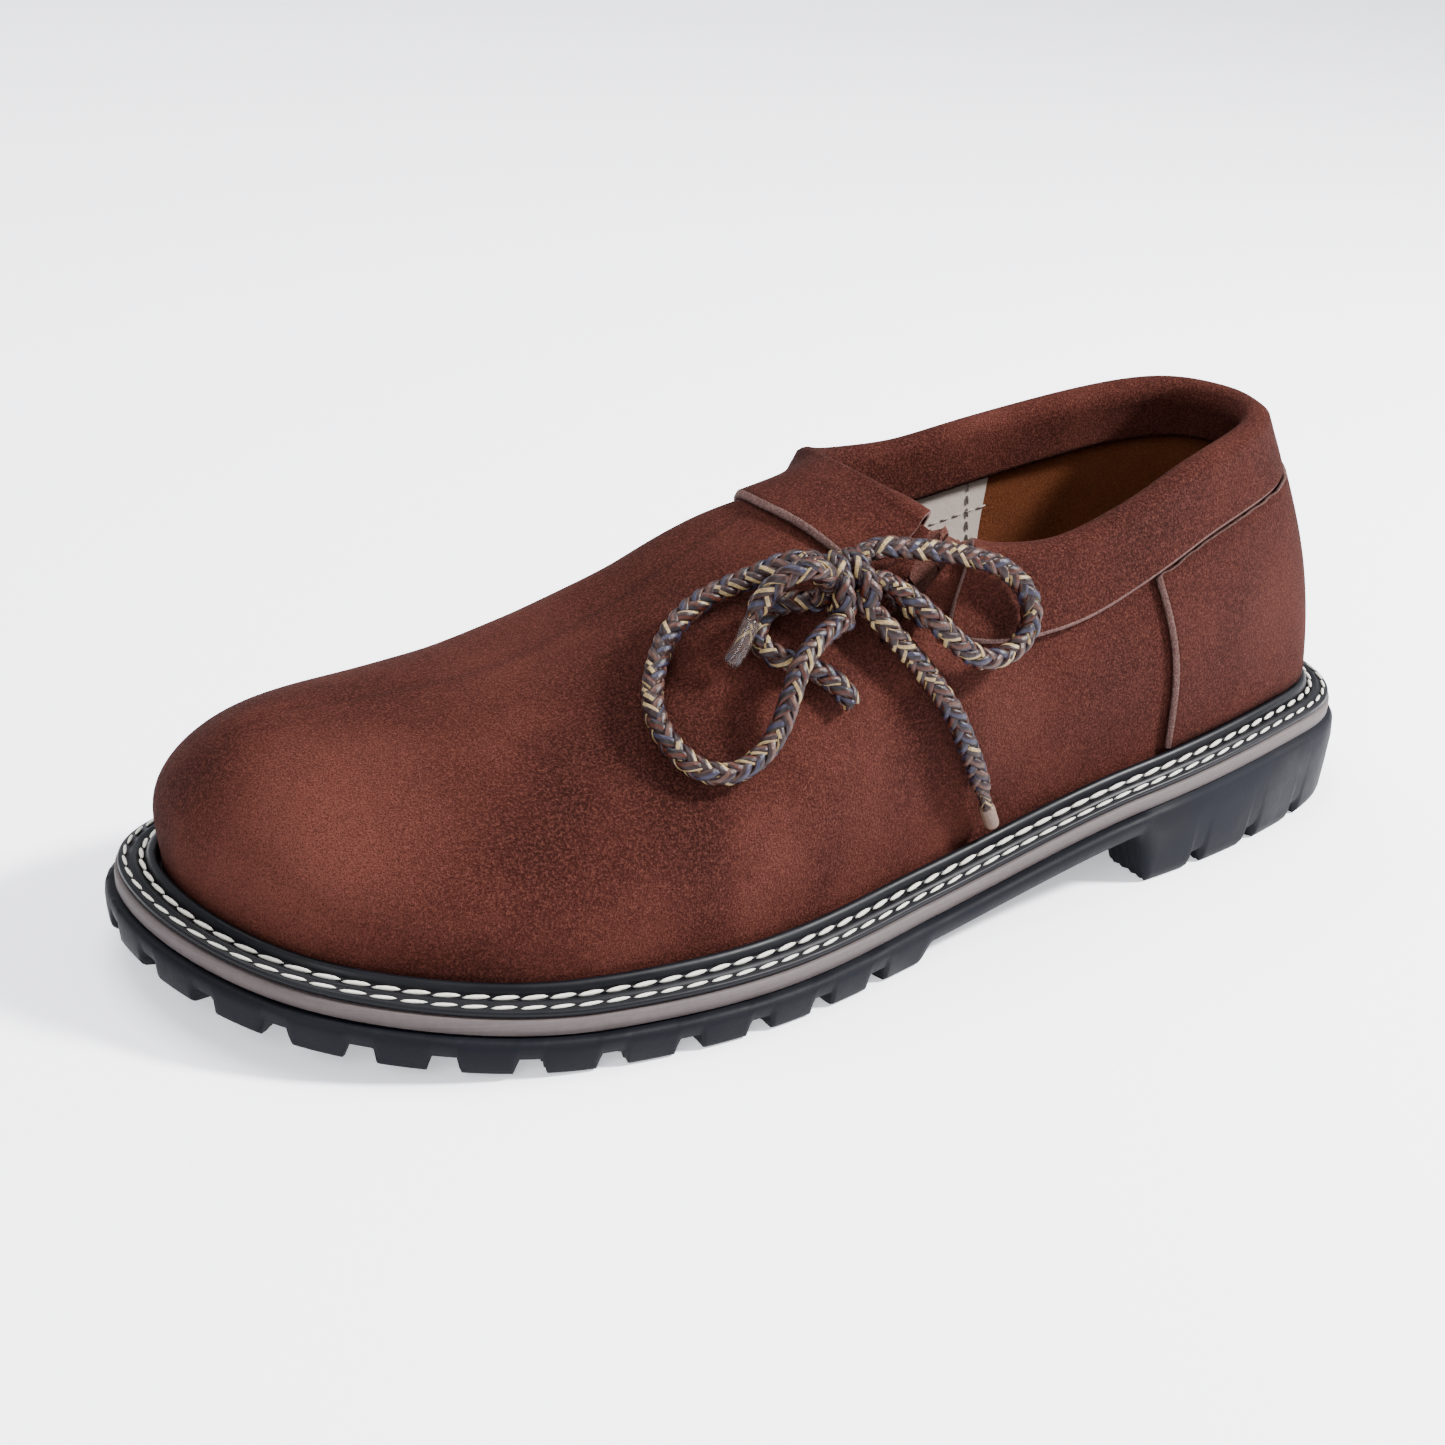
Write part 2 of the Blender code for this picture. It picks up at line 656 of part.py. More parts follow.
def make_insole():
    """Insole board inside the upper."""
    edge = ring(FEATHER_INSET + UPPER_WALL + 3 * CLEARANCE, SOLE_POINTS)
    low = welt_floor(edge[:, 0]) + CLEARANCE
    stack("insole", (with_height(edge, low), with_height(edge, low + INSOLE_THICKNESS)), INSOLE)


def make_upper(grid, skin, edge):
    """Hollow suede upper, open at the collar and underneath, with a slit on its outer side."""
    rings = [grid[:, row] for row in range(RIB_ROWS + 1)]
    upper = add_mesh("upper", np.vstack(rings), walls(RIB_ROWS + 1, 2 * RIB_COUNT, False), SUEDE)
    thicken(upper, UPPER_WALL, -1.0)
    cut(upper, slit_cutter(skin, edge))


def slit_cutter(skin, edge):
    """Narrow wedge that follows the wall down from the collar edge."""
    depths = np.linspace(0.0, SLIT_DEPTH, 6)
    points, normals = below_collar(skin, edge, (-0.002, 0.0, 0.002), depths)
    side = points[2] - points[0]
    side /= np.linalg.norm(side, axis=1)[:, None]
    middle = points[1]
    middle[0] += (middle[0] - middle[1]) * 0.8
    half = np.linspace(SLIT_WIDTH, SLIT_WIDTH * 0.15, 6)[:, None] / 2
    out = normals[1] * 0.003
    into = normals[1] * (UPPER_WALL + 0.003)
    rings = (middle + side * half + out, middle - side * half + out,
             middle - side * half - into, middle + side * half - into)
    points = np.stack(rings, 1).reshape(-1, 3)
    return add_mesh("slit_space", points, walls(6, 4, False) + [(3, 2, 1, 0), (20, 21, 22, 23)])


def make_collar_band(skin, edge):
    """Suede band folded over the collar edge, from one side of the slit round to the other."""
    start = SLIT_WIDTH / 2
    end = edge[1][-1] - SLIT_WIDTH / 2
    ribs = [at for at in edge[1] if start + 0.002 < at < end - 0.002]
    stations = [start]
    for at in ribs + [end]:
        parts = int(math.ceil((at - stations[-1]) / BAND_STEP))
        stations += list(np.linspace(stations[-1], at, parts + 1)[1:])
    depths = []
    for at in stations:
        width = float(table_value(BAND_WIDTHS, 1, at / edge[1][-1]))
        depths.append((0.0, BAND_TURN_IN / 2, BAND_TURN_IN, (BAND_TURN_IN + width) / 2, width))
    walk = np.linspace(0.0, BAND_WIDTHS[-1][1], BAND_WALKS + 1)
    points, normals = (at_depths(read, walk, depths) for read in below_collar(skin, edge, stations, walk))
    normals /= np.linalg.norm(normals, axis=2)[:, :, None]
    up = points[:, 0] - points[:, 1]
    up /= np.linalg.norm(up, axis=1)[:, None]
    radius = UPPER_WALL / 2 + 1.3 * LAID_CLEARANCE
    centre = points[:, 0] - normals[:, 0] * UPPER_WALL / 2
    columns = [points[:, k] + normals[:, k] * LAID_CLEARANCE for k in (4, 3, 2, 1, 0)]
    for turn in (50, 130):
        angle = math.radians(turn)
        columns.append(centre + (normals[:, 0] * math.cos(angle) + up * math.sin(angle)) * radius)
    inside = UPPER_WALL + LAID_CLEARANCE + CLEARANCE
    columns += [points[:, k] - normals[:, k] * inside for k in (0, 2)]
    rows = len(columns)
    faces = [face[::-1] for face in sheet_faces(len(stations), rows)]
    band = add_mesh("collar_band", np.stack(columns, 1).reshape(-1, 3), faces, SUEDE)
    thicken(band, BAND_THICKNESS, 1.0)


def make_back_panel(grid, edge):
    """Counter laid round the heel on the upper, between the band and the welt."""
    count = len(grid)
    share = grid[:, 0, 0] / SHOE_LENGTH
    ribs = [k for k in range(count // 2, count) if share[k] < PANEL_FRONT_FOOT]
    ribs += [k for k in range(count // 2) if share[k] < PANEL_FRONT_FOOT]
    steps = np.linspace(0, 1, PANEL_ROWS)
    points = []
    for k in ribs:
        rib = grid[k]
        far = np.linalg.norm(rib[:, None] - edge[0][None], axis=2).min(1)
        rows = np.arange(len(rib))
        low_height = welt_floor(grid[k, 0, 0]) + WELT_BEAD_HEIGHT + 2 * CLEARANCE
        low = np.interp(low_height, rib[:, 2], rows)
        high = np.interp(-PANEL_TOP - 3 * CLEARANCE, -far, rows)
        at = low + (high - low) * steps
        points.append(np.stack([np.interp(at, rows, rib[:, axis]) for axis in range(3)], -1))
    points = np.array(points)
    along = np.gradient(points, axis=0)
    up = np.gradient(points, axis=1)
    normals = np.cross(along, up)
    normals /= np.linalg.norm(normals, axis=2)[:, :, None]
    laid = points + normals * LAID_CLEARANCE
    faces = [face[::-1] for face in sheet_faces(len(ribs), PANEL_ROWS)]
    panel = add_mesh("back_panel", laid.reshape(-1, 3), faces, SUEDE)
    thicken(panel, PANEL_THICKNESS, 1.0)


def make_tongue(skin, edge):
    """Small gusset behind the slit, pinked along its top edge."""
    half = TONGUE_WIDTH / 2
    count = 2 * int(round(TONGUE_WIDTH / PINK_PITCH)) + 1
    stations = np.linspace(-half, half, count)
    depths = np.linspace(0.0, TONGUE_DEPTH, 6)
    points, normals = below_collar(skin, edge, stations, depths)
    inside = UPPER_WALL + BAND_THICKNESS + LAID_CLEARANCE + 3 * CLEARANCE
    laid = points - normals * inside
    drop = laid[:, 1] - laid[:, 0]
    drop /= np.linalg.norm(drop, axis=1)[:, None]
    laid[:, 0] -= drop * TONGUE_RISE
    laid[::2, 0] += drop[::2] * PINK_DEPTH
    faces = sheet_faces(count, 6)
    tongue = add_mesh("tongue", laid.reshape(-1, 3), faces, SUEDE)
    thicken(tongue, TONGUE_THICKNESS, -1.0)


def knot_axes():
    """Unit directions of the knot: along the shoe, down its outer side and off its surface."""
    up = np.array(KNOT_UP) / np.linalg.norm(KNOT_UP)
    along = np.array([1.0, 0.0, 0.0]) - up * up[0]
    along /= np.linalg.norm(along)
    return np.stack([along, np.cross(up, along), up])


def knot_place(way):
    """Point of the knot's face in one way from its centre, and the outward direction there."""
    half = np.array([KNOT_WIDTH, KNOT_WIDTH, KNOT_THICKNESS]) / 2
    local = np.array(way) / np.linalg.norm(np.array(way) / half)
    out = local / half**2
    return np.array(KNOT_CENTRE) + local @ knot_axes(), out / np.linalg.norm(out) @ knot_axes()


def make_knot():
    """Rounded outer shape of the bow's knot."""
    rings = []
    for level in np.linspace(-90, 90, KNOT_ROWS + 1)[1:-1]:
        high = math.radians(level)
        for turn in np.linspace(0, 2 * math.pi, KNOT_SEGMENTS, endpoint=False):
            way = (math.cos(turn) * math.cos(high), math.sin(turn) * math.cos(high), math.sin(high))
            rings.append(knot_place(np.array(way) * (KNOT_WIDTH, KNOT_WIDTH, KNOT_THICKNESS))[0])
    faces = walls(KNOT_ROWS - 1, KNOT_SEGMENTS, False)
    foot = len(rings)
    rings += [knot_place((0.0, 0.0, -1.0))[0], knot_place((0.0, 0.0, 1.0))[0]]
    last = (KNOT_ROWS - 2) * KNOT_SEGMENTS
    for k in range(KNOT_SEGMENTS):
        n = (k + 1) % KNOT_SEGMENTS
        faces.append((foot, n, k))
        faces.append((foot + 1, last + k, last + n))
    add_mesh("lace_knot", rings, faces, CORD)


def smooth_line(points, step):
    """Smooth curve through points, read at even steps."""
    p = np.array(points)
    p = np.vstack([2 * p[0] - p[1], p, 2 * p[-1] - p[-2]])
    dense = []
    for i in range(1, len(p) - 2):
        for t in np.linspace(0, 1, CURVE_READS, endpoint=False):
            dense.append(p[i] + ((p[i + 1] - p[i - 1]) * t + (2 * p[i - 1] - 5 * p[i] + 4 * p[i + 1] - p[i + 2]) * t**2
                                 + (3 * p[i] - p[i - 1] - 3 * p[i + 1] + p[i + 2]) * t**3) / 2)
    dense.append(p[-2])
    dense = np.array(dense)
    travel = np.concatenate([[0.0], np.cumsum(np.linalg.norm(np.diff(dense, axis=0), axis=1))])
    at = np.linspace(0, travel[-1], max(2, round(travel[-1] / step)) + 1)
    return np.stack([np.interp(at, travel, dense[:, axis]) for axis in range(3)], -1)


def add_cord(name, points):
    """Round cord with closed ends along a line of points."""
    curve = bpy.data.curves.new(name, "CURVE")
    curve.dimensions = "3D"
    curve.bevel_depth = LACE / 2
    curve.bevel_resolution = round(LACE_ROUNDNESS)
    curve.use_fill_caps = True
    spline = curve.splines.new("POLY")
    spline.points.add(len(points) - 1)
    for point, place in zip(spline.points, points):
        point.co = (*map(float, place), 1.0)
    spline.use_smooth = True
    curve.materials.append(CORD)
    made = bpy.data.objects.new(name, curve)
    SHOE.objects.link(made)
    made.parent = CARRIER


def make_lace_bar(skin, edge):
    """Lace where it crosses the slit from one end of the band to the other."""
    half = SLIT_WIDTH / 2
    points, normals = below_collar(skin, edge, (-half, 0.0, half), (0.0, BAR_DEPTH))
    line = points[:, 1] + normals[:, 1] * (LACE / 2 + LAID_CLEARANCE)
    for end in (0, 2):
        back = line[1] - line[end]
        line[end] += back / np.linalg.norm(back) * 3 * CLEARANCE
    add_cord("lace_bar", line)


def make_bow():
    """Loops and ends of the bow, from the faces of its knot."""
    for name, route in LACE_ROUTES.items():
        ends = []
        for way, near in zip(KNOT_WAYS[name], (route[0], route[-1])):
            place, out = knot_place(way)
            leaves = (np.array(near) - place) / np.linalg.norm(np.array(near) - place)
            lean = np.linalg.norm(np.cross(leaves, out))
            ends.append(place + leaves * (CLEARANCE + LACE / 2 * lean))
        points = [ends[0], *route, *ends[1:]]
        add_cord(name, smooth_line(points, LACE_STEP * LACE))


for old in list(bpy.data.objects):
    bpy.data.objects.remove(old, do_unlink=True)

SHOE = bpy.data.collections.new("traditional_shoe")
CUTTERS = bpy.data.collections.new("cutters")
bpy.context.scene.collection.children.link(SHOE)
bpy.context.scene.collection.children.link(CUTTERS)
CARRIER = bpy.data.objects.new("shoe_carrier", None)
CARRIER.location = (-CENTRE[0], -CENTRE[1], 0.0)
SHOE.objects.link(CARRIER)

RUBBER = material("black_rubber", (0.012, 0.014, 0.018), 0.62)
MIDSOLE = material("taupe_midsole", (0.30, 0.22, 0.16), 0.70)
WELT = material("black_welt", (0.016, 0.016, 0.018), 0.50)
INSOLE = material("brown_insole", (0.24, 0.12, 0.06), 0.80)
SUEDE = material("reddish_brown_suede", (0.17, 0.055, 0.030), 0.95)
CORD = material("brown_lace", (0.20, 0.13, 0.10), 0.85)

make_outsole()
make_midsole()
make_welt()
make_insole()
GRID = upper_ribs(RIB_COUNT, RIB_ROWS)
SKIN = upper_skin(GRID)
EDGE = collar_edge(GRID)
make_upper(GRID, SKIN, EDGE)
make_collar_band(SKIN, EDGE)
make_back_panel(GRID, EDGE)
make_tongue(SKIN, EDGE)
make_lace_bar(SKIN, EDGE)
make_knot()
make_bow()
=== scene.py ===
"""Looks of the left traditional shoe: reddish-brown suede, braided lace, white stitches, black lugged sole.

The frame's origin is the middle of the sole on the floor, +X to the toe, +Y to the outer side, +Z up.
Shoe measures start at the back of the heel, as in the part, and MIDDLE carries them into the frame.
"""

import math

import bmesh
import bpy
import numpy as np
from mathutils import Matrix, Vector
from mathutils.bvhtree import BVHTree


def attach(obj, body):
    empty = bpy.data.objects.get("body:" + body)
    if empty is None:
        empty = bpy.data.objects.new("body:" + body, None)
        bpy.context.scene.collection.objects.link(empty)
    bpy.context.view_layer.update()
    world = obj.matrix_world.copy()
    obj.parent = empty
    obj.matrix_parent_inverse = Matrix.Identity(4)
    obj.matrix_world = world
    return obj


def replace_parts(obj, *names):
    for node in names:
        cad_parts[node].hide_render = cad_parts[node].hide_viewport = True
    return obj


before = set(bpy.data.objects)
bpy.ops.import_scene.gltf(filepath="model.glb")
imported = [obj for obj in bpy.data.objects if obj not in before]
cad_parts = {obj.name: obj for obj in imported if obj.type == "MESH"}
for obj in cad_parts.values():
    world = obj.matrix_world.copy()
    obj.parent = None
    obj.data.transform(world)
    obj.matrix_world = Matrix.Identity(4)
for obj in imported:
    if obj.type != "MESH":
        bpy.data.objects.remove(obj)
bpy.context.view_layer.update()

# Camera
# The photograph's own place beside and above the shoe, turned to the middle of this one shoe.
EYE = Vector((0.3216, 0.4131, 0.2575))
AIM = Vector((0.0152, -0.0108, 0.0309))
EYE_UP = Vector((-0.1422, -0.3514, 0.9254))
LENS = 67.0

lens = bpy.data.cameras.new("shoe_camera")
lens.lens = LENS
lens.sensor_width = 36.0
lens.clip_start = 0.01
camera = bpy.data.objects.new("shoe_camera", lens)
bpy.context.scene.collection.objects.link(camera)
away = (EYE - AIM).normalized()
across = EYE_UP.cross(away).normalized()
turn = Matrix((across, away.cross(across), away)).transposed().to_4x4()
camera.matrix_world = Matrix.Translation(EYE) @ turn
bpy.context.scene.camera = camera

# Studio
# Pale sheet of paper under soft boxes: the key stands high on the heel side, a weaker fill before the toe.
PAPER = (0.93, 0.93, 0.97)
SOFT_BOXES = (
    # name, place, side, power
    ("key_box", (-0.85, 0.55, 0.95), 0.22, 78.0),
    ("top_box", (0.10, -0.45, 1.45), 1.0, 30.0),
    ("fill_box", (1.05, 0.75, 0.75), 0.8, 17.0),
)


class Wires:
    """Node builder: one method makes any node, and Socket does the arithmetic."""

    def __init__(self, name):
        self.material = bpy.data.materials.new(name)
        self.material.use_nodes = True
        self.tree = self.material.node_tree
        self.shader = self.tree.nodes["Principled BSDF"]

    def node(self, kind, values=(), out=0, **settings):
        made = self.tree.nodes.new(kind)
        for key, value in settings.items():
            if key == "stops":
                ramp = made.color_ramp
                while len(ramp.elements) < len(value):
                    ramp.elements.new(0.5)
                for stop, (place, colour) in zip(ramp.elements, value):
                    stop.position = place
                    stop.color = (*colour, 1.0)
            else:
                setattr(made, key, value)
        for key, value in dict(values).items():
            self.link(value, made.inputs[key])
        return Socket(self, made.outputs[out])

    def link(self, value, socket):
        if isinstance(value, Socket):
            self.tree.links.new(value.socket, socket)
        elif isinstance(value, tuple) and socket.type == "RGBA":
            socket.default_value = (*value[:3], 1.0)
        else:
            socket.default_value = value

    def noise(self, coordinates, scale, detail=3.0, roughness=0.55, distortion=0.0):
        return self.node("ShaderNodeTexNoise", {
            "Vector": coordinates, "Scale": scale, "Detail": detail,
            "Roughness": roughness, "Distortion": distortion})

    def mix(self, share, first, second):
        return self.node("ShaderNodeMix", {0: share, 6: first, 7: second}, out=2, data_type="RGBA")

    def range(self, value, low, high, out_low=0.0, out_high=1.0):
        return self.node("ShaderNodeMapRange", {
            "Value": value, "From Min": low, "From Max": high, "To Min": out_low, "To Max": out_high},
            interpolation_type="SMOOTHSTEP")

    def bump(self, height, strength, distance, below=None):
        values = {"Height": height, "Strength": strength, "Distance": distance}
        if below is not None:
            values["Normal"] = below
        return self.node("ShaderNodeBump", values)

    def finish(self, **values):
        for key, value in values.items():
            self.link(value, self.shader.inputs[key.replace("_", " ")])
        return self.material


class Socket:
    """One output, with the operators that the finishes use."""

    def __init__(self, wires, socket):
        self.wires = wires
        self.socket = socket

    def maths(self, operation, first, second):
        return self.wires.node("ShaderNodeMath", {0: first, 1: second}, operation=operation)

    def __add__(self, other):
        return self.maths("ADD", self, other)

    def __radd__(self, other):
        return self.maths("ADD", other, self)

    def __sub__(self, other):
        return self.maths("SUBTRACT", self, other)

    def __rsub__(self, other):
        return self.maths("SUBTRACT", other, self)

    def __mul__(self, other):
        return self.maths("MULTIPLY", self, other)

    def __rmul__(self, other):
        return self.maths("MULTIPLY", other, self)


paper = Wires("pale_paper")
paper.finish(Base_Color=(*PAPER, 1.0), Roughness=0.9, Emission_Color=(0.94, 0.95, 1.0, 1.0), Emission_Strength=0.60)
bpy.ops.mesh.primitive_plane_add(size=12.0, location=(0.0, 0.0, 0.0))
floor = bpy.context.object
floor.name = "paper_floor"
floor.data.materials.append(paper.material)
for name, place, side, power in SOFT_BOXES:
    box = bpy.data.lights.new(name, "AREA")
    box.shape = "SQUARE"
    box.size = side
    box.energy = power
    stand = bpy.data.objects.new(name, box)
    stand.location = place
    stand.rotation_euler = Vector(place).to_track_quat("Z", "Y").to_euler()
    bpy.context.scene.collection.objects.link(stand)
world = bpy.data.worlds.new("studio")
world.use_nodes = True
world.node_tree.nodes["Background"].inputs["Color"].default_value = (0.90, 0.93, 1.0, 1.0)
world.node_tree.nodes["Background"].inputs["Strength"].default_value = 0.85
bpy.context.scene.world = world

# Outsole
# One moulding of black rubber: a smooth side, a raised heel and arch, and lugs whose gaps open at the edge.
# It carries the whole shoe, so its outline is the one that midsole, welt and upper follow.
SHOE_LENGTH = 0.300
BALL_WIDTH = 0.116
HEEL_LIFT = 0.0207
FOREFOOT_LIFT = 0.0076
TOE_SPRING = 0.0080
TOE_SPRING_START = 0.78
SOLE_FLARE = 0.0012
ARCH_LAYER = 0.0050
HEEL_BREAST = 0.085
HEEL_BREAST_SLANT = 0.005
FOREFOOT_TREAD_START = 0.157
TREAD_DEPTH = 0.0032
LUG_PITCH = 0.0160
LUG_GAP = 0.0055
SIDE_LUG_REACH = 0.0130
TREAD_CHANNEL = 0.0045
HEEL_LUG_PITCH = 0.0200
HEEL_LUG_GAP = 0.0048
CLEARANCE = 0.0003
RUBBER = (0.0014, 0.0016, 0.0034)
OUTLINE = (
    # share, outer, inner
    (0.012, 0.118, -0.144),
    (0.045, 0.221, -0.247),
    (0.110, 0.298, -0.308),
    (0.212, 0.362, -0.322),
    (0.354, 0.400, -0.300),
    (0.475, 0.434, -0.310),
    (0.576, 0.496, -0.365),
    (0.667, 0.532, -0.430),
    (0.748, 0.526, -0.478),
    (0.828, 0.486, -0.478),
    (0.899, 0.408, -0.420),
    (0.955, 0.296, -0.325),
    (0.988, 0.145, -0.210),
)
HEEL_POINT = -0.013
TOE_POINT = -0.074
SEAT = (
    # share, rise
    (0.000, 0.90),
    (0.110, 1.00),
    (0.293, 0.76),
    (0.495, 0.10),
    (0.657, 0.00),
    (1.000, 0.00),
)


def table_value(table, column, share):
    """Smooth value of one column at a share of the first column, without overshoot."""
    keys = np.array([row[0] for row in table])
    values = np.array([row[column] for row in table])
    steps = np.diff(keys)
    slopes = np.diff(values) / steps
    tangents = np.zeros(len(keys))
    for i in range(1, len(keys) - 1):
        if slopes[i - 1] * slopes[i] > 0:
            w1 = 2 * steps[i] + steps[i - 1]
            w2 = steps[i] + 2 * steps[i - 1]
            tangents[i] = (w1 + w2) / (w1 / slopes[i - 1] + w2 / slopes[i])
    tangents[0] = slopes[0]
    tangents[-1] = slopes[-1]
    at = np.clip(share, keys[0], keys[-1])
    i = np.clip(np.searchsorted(keys, at, side="right") - 1, 0, len(keys) - 2)
    h = steps[i]
    t = (at - keys[i]) / h
    return (values[i] * (2 * t**3 - 3 * t**2 + 1) + h * tangents[i] * (t**3 - 2 * t**2 + t)
            + values[i + 1] * (3 * t**2 - 2 * t**3) + h * tangents[i + 1] * (t**3 - t**2))


def closed_curve(points, count):
    """Closed smooth curve through a few points."""
    p = np.asarray(points, float)
    n = len(p)
    gap = np.linalg.norm(np.roll(p, -1, 0) - p, axis=1)
    start = np.concatenate([[0.0], np.cumsum(gap)])
    matrix = np.zeros((n, n))
    right = np.zeros((n, 2))
    for i in range(n):
        before = gap[i - 1]
        after = gap[i]
        j = (i + 1) % n
        matrix[i, i - 1] += before
        matrix[i, i] += 2 * (before + after)
        matrix[i, j] += after
        right[i] = 6 * ((p[j] - p[i]) / after - (p[i] - p[i - 1]) / before)
    bend = np.linalg.solve(matrix, right)
    u = np.linspace(0, start[-1], count, endpoint=False)
    i = np.clip(np.searchsorted(start, u, side="right") - 1, 0, n - 1)
    j = (i + 1) % n
    a = (u - start[i])[:, None]
    h = gap[i][:, None]
    return (bend[i] * (h - a)**3 / (6 * h) + bend[j] * a**3 / (6 * h)
            + (p[i] / h - bend[i] * h / 6) * (h - a) + (p[j] / h - bend[j] * h / 6) * a)


def sole_outline():
    """Outline of the sole, from the back of the heel along the inner side to the toe and back."""
    inner = [(row[0] * SHOE_LENGTH, row[2] * BALL_WIDTH) for row in OUTLINE]
    outer = [(row[0] * SHOE_LENGTH, row[1] * BALL_WIDTH) for row in OUTLINE]
    points = [(0.0, HEEL_POINT * BALL_WIDTH)] + inner + [(SHOE_LENGTH, TOE_POINT * BALL_WIDTH)] + outer[::-1]
    return closed_curve(points, 2400)


DENSE = sole_outline()
COARSE = DENSE[::3]
MIDDLE = np.array([*((COARSE.max(0) + COARSE.min(0)) / 2), 0.0])


def outward(curve):
    """Outward unit normals of a closed curve that runs anticlockwise."""
    tangent = np.roll(curve, -1, 0) - np.roll(curve, 1, 0)
    tangent /= np.linalg.norm(tangent, axis=1)[:, None]
    return np.stack([tangent[:, 1], -tangent[:, 0]], -1)


def ring(inset, per_side):
    """Outline moved in by inset, with as many even steps on the inner side as on the outer side."""
    curve = DENSE - outward(DENSE) * inset
    heel = int(np.argmin(curve[:, 0]))
    curve = np.roll(curve, -heel, 0)
    toe = int(np.argmax(curve[:, 0]))
    halves = (curve[:toe + 1], np.vstack([curve[toe:], curve[:1]]))
    result = []
    for half in halves:
        length = np.concatenate([[0.0], np.cumsum(np.linalg.norm(np.diff(half, axis=0), axis=1))])
        at = np.linspace(0, length[-1], per_side + 1)[:-1]
        result.append(np.stack([np.interp(at, length, half[:, 0]), np.interp(at, length, half[:, 1])], -1))
    return np.vstack(result)


def toe_rise(x):
    """How far the toe spring lifts the sole at x."""
    share = np.clip((np.asarray(x) / SHOE_LENGTH - TOE_SPRING_START) / (1 - TOE_SPRING_START), 0, 1)
    return TOE_SPRING * share**1.6


def seat_height(x):
    """Height of the underside of the midsole above the floor."""
    share = np.asarray(x) / SHOE_LENGTH
    return FOREFOOT_LIFT + (HEEL_LIFT - FOREFOOT_LIFT) * table_value(SEAT, 1, share) + toe_rise(x)


def step(value, low, high):
    """Soft step from 0 at low to 1 at high."""
    t = np.clip((value - low) / (high - low), 0, 1)
    return t * t * (3 - 2 * t)


def walls(levels, count, closed):
    """Faces between rings laid one over another, going round each ring, and back to the first if closed."""
    faces = []
    for level in range(levels if closed else levels - 1):
        low = level * count
        high = (level + 1) % levels * count
        for k in range(count):
            n = (k + 1) % count
            faces.append((low + k, low + n, high + n, high + k))
    return faces


def lid(first, count):
    """Faces across the width of one ring, seen from above."""
    faces = [(first, first + 1, first + count - 1)]
    for k in range(1, count // 2 - 1):
        faces.append((first + k, first + k + 1, first + count - k - 1, first + count - k))
    half = count // 2
    faces.append((first + half - 1, first + half, first + half + 1))
    return faces


def piece(name, points, faces, finish, node=None, merge=0.00001):
    """Object in the frame from shoe measures, shaded smooth, riding on the shoe in place of a part when a node is
    given.
    """
    mesh = bpy.data.meshes.new(name)
    mesh.from_pydata((np.asarray(points) - MIDDLE).tolist(), [], faces)
    if merge:
        bm = bmesh.new()
        bm.from_mesh(mesh)
        bmesh.ops.remove_doubles(bm, verts=bm.verts, dist=merge)
        bmesh.ops.recalc_face_normals(bm, faces=bm.faces)
        bm.to_mesh(mesh)
        bm.free()
    mesh.shade_smooth()
    mesh.materials.append(finish)
    made = bpy.data.objects.new(name, mesh)
    bpy.context.scene.collection.objects.link(made)
    if node:
        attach(made, "root")
        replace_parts(made, node)
    return made


def lug_gaps():
    """Gaps of the tread: start, direction, reach and width of each."""
    edge = ring(0.0, 400)
    ways = outward(edge)
    travel = np.concatenate([[0.0], np.cumsum(np.linalg.norm(np.diff(edge, axis=0), axis=1))])
    total = travel[-1] + np.linalg.norm(edge[0] - edge[-1])
    toe = travel[400]
    rows = []
    runs = ((toe, 1, LUG_PITCH, LUG_GAP), (toe, -1, LUG_PITCH, LUG_GAP),
            (0.0, 1, HEEL_LUG_PITCH, HEEL_LUG_GAP), (0.0, -1, HEEL_LUG_PITCH, HEEL_LUG_GAP))
    for start, way, pitch, width in runs:
        for count in range(int(total / pitch)):
            at = start + way * (count + 0.5) * pitch
            k = int(np.argmin(abs(travel - at % total)))
            x = edge[k, 0]
            if start == toe and x < FOREFOOT_TREAD_START + LUG_GAP:
                break
            if start == 0.0 and x > HEEL_BREAST - LUG_GAP:
                break
            rows.append((edge[k] + ways[k] * 0.004, -ways[k], SIDE_LUG_REACH + 0.005, width))
    inner = ring(SIDE_LUG_REACH + TREAD_CHANNEL / 2, 400)
    inset = SIDE_LUG_REACH + TREAD_CHANNEL
    runs = ((FOREFOOT_TREAD_START, SHOE_LENGTH - inset, LUG_PITCH, LUG_GAP),
            (inset, HEEL_BREAST, HEEL_LUG_PITCH, HEEL_LUG_GAP))
    for first, last, pitch, width in runs:
        count = int((last - first) / pitch)
        for n in range(count):
            x = first + (n + 0.5) * (last - first) / count
            low = inner[:400][np.argmin(abs(inner[:400, 0] - x))]
            high = inner[400:][np.argmin(abs(inner[400:, 0] - x))]
            rows.append((np.array([x, low[1]]), np.array([0.0, 1.0]), high[1] - low[1], width))
    return rows


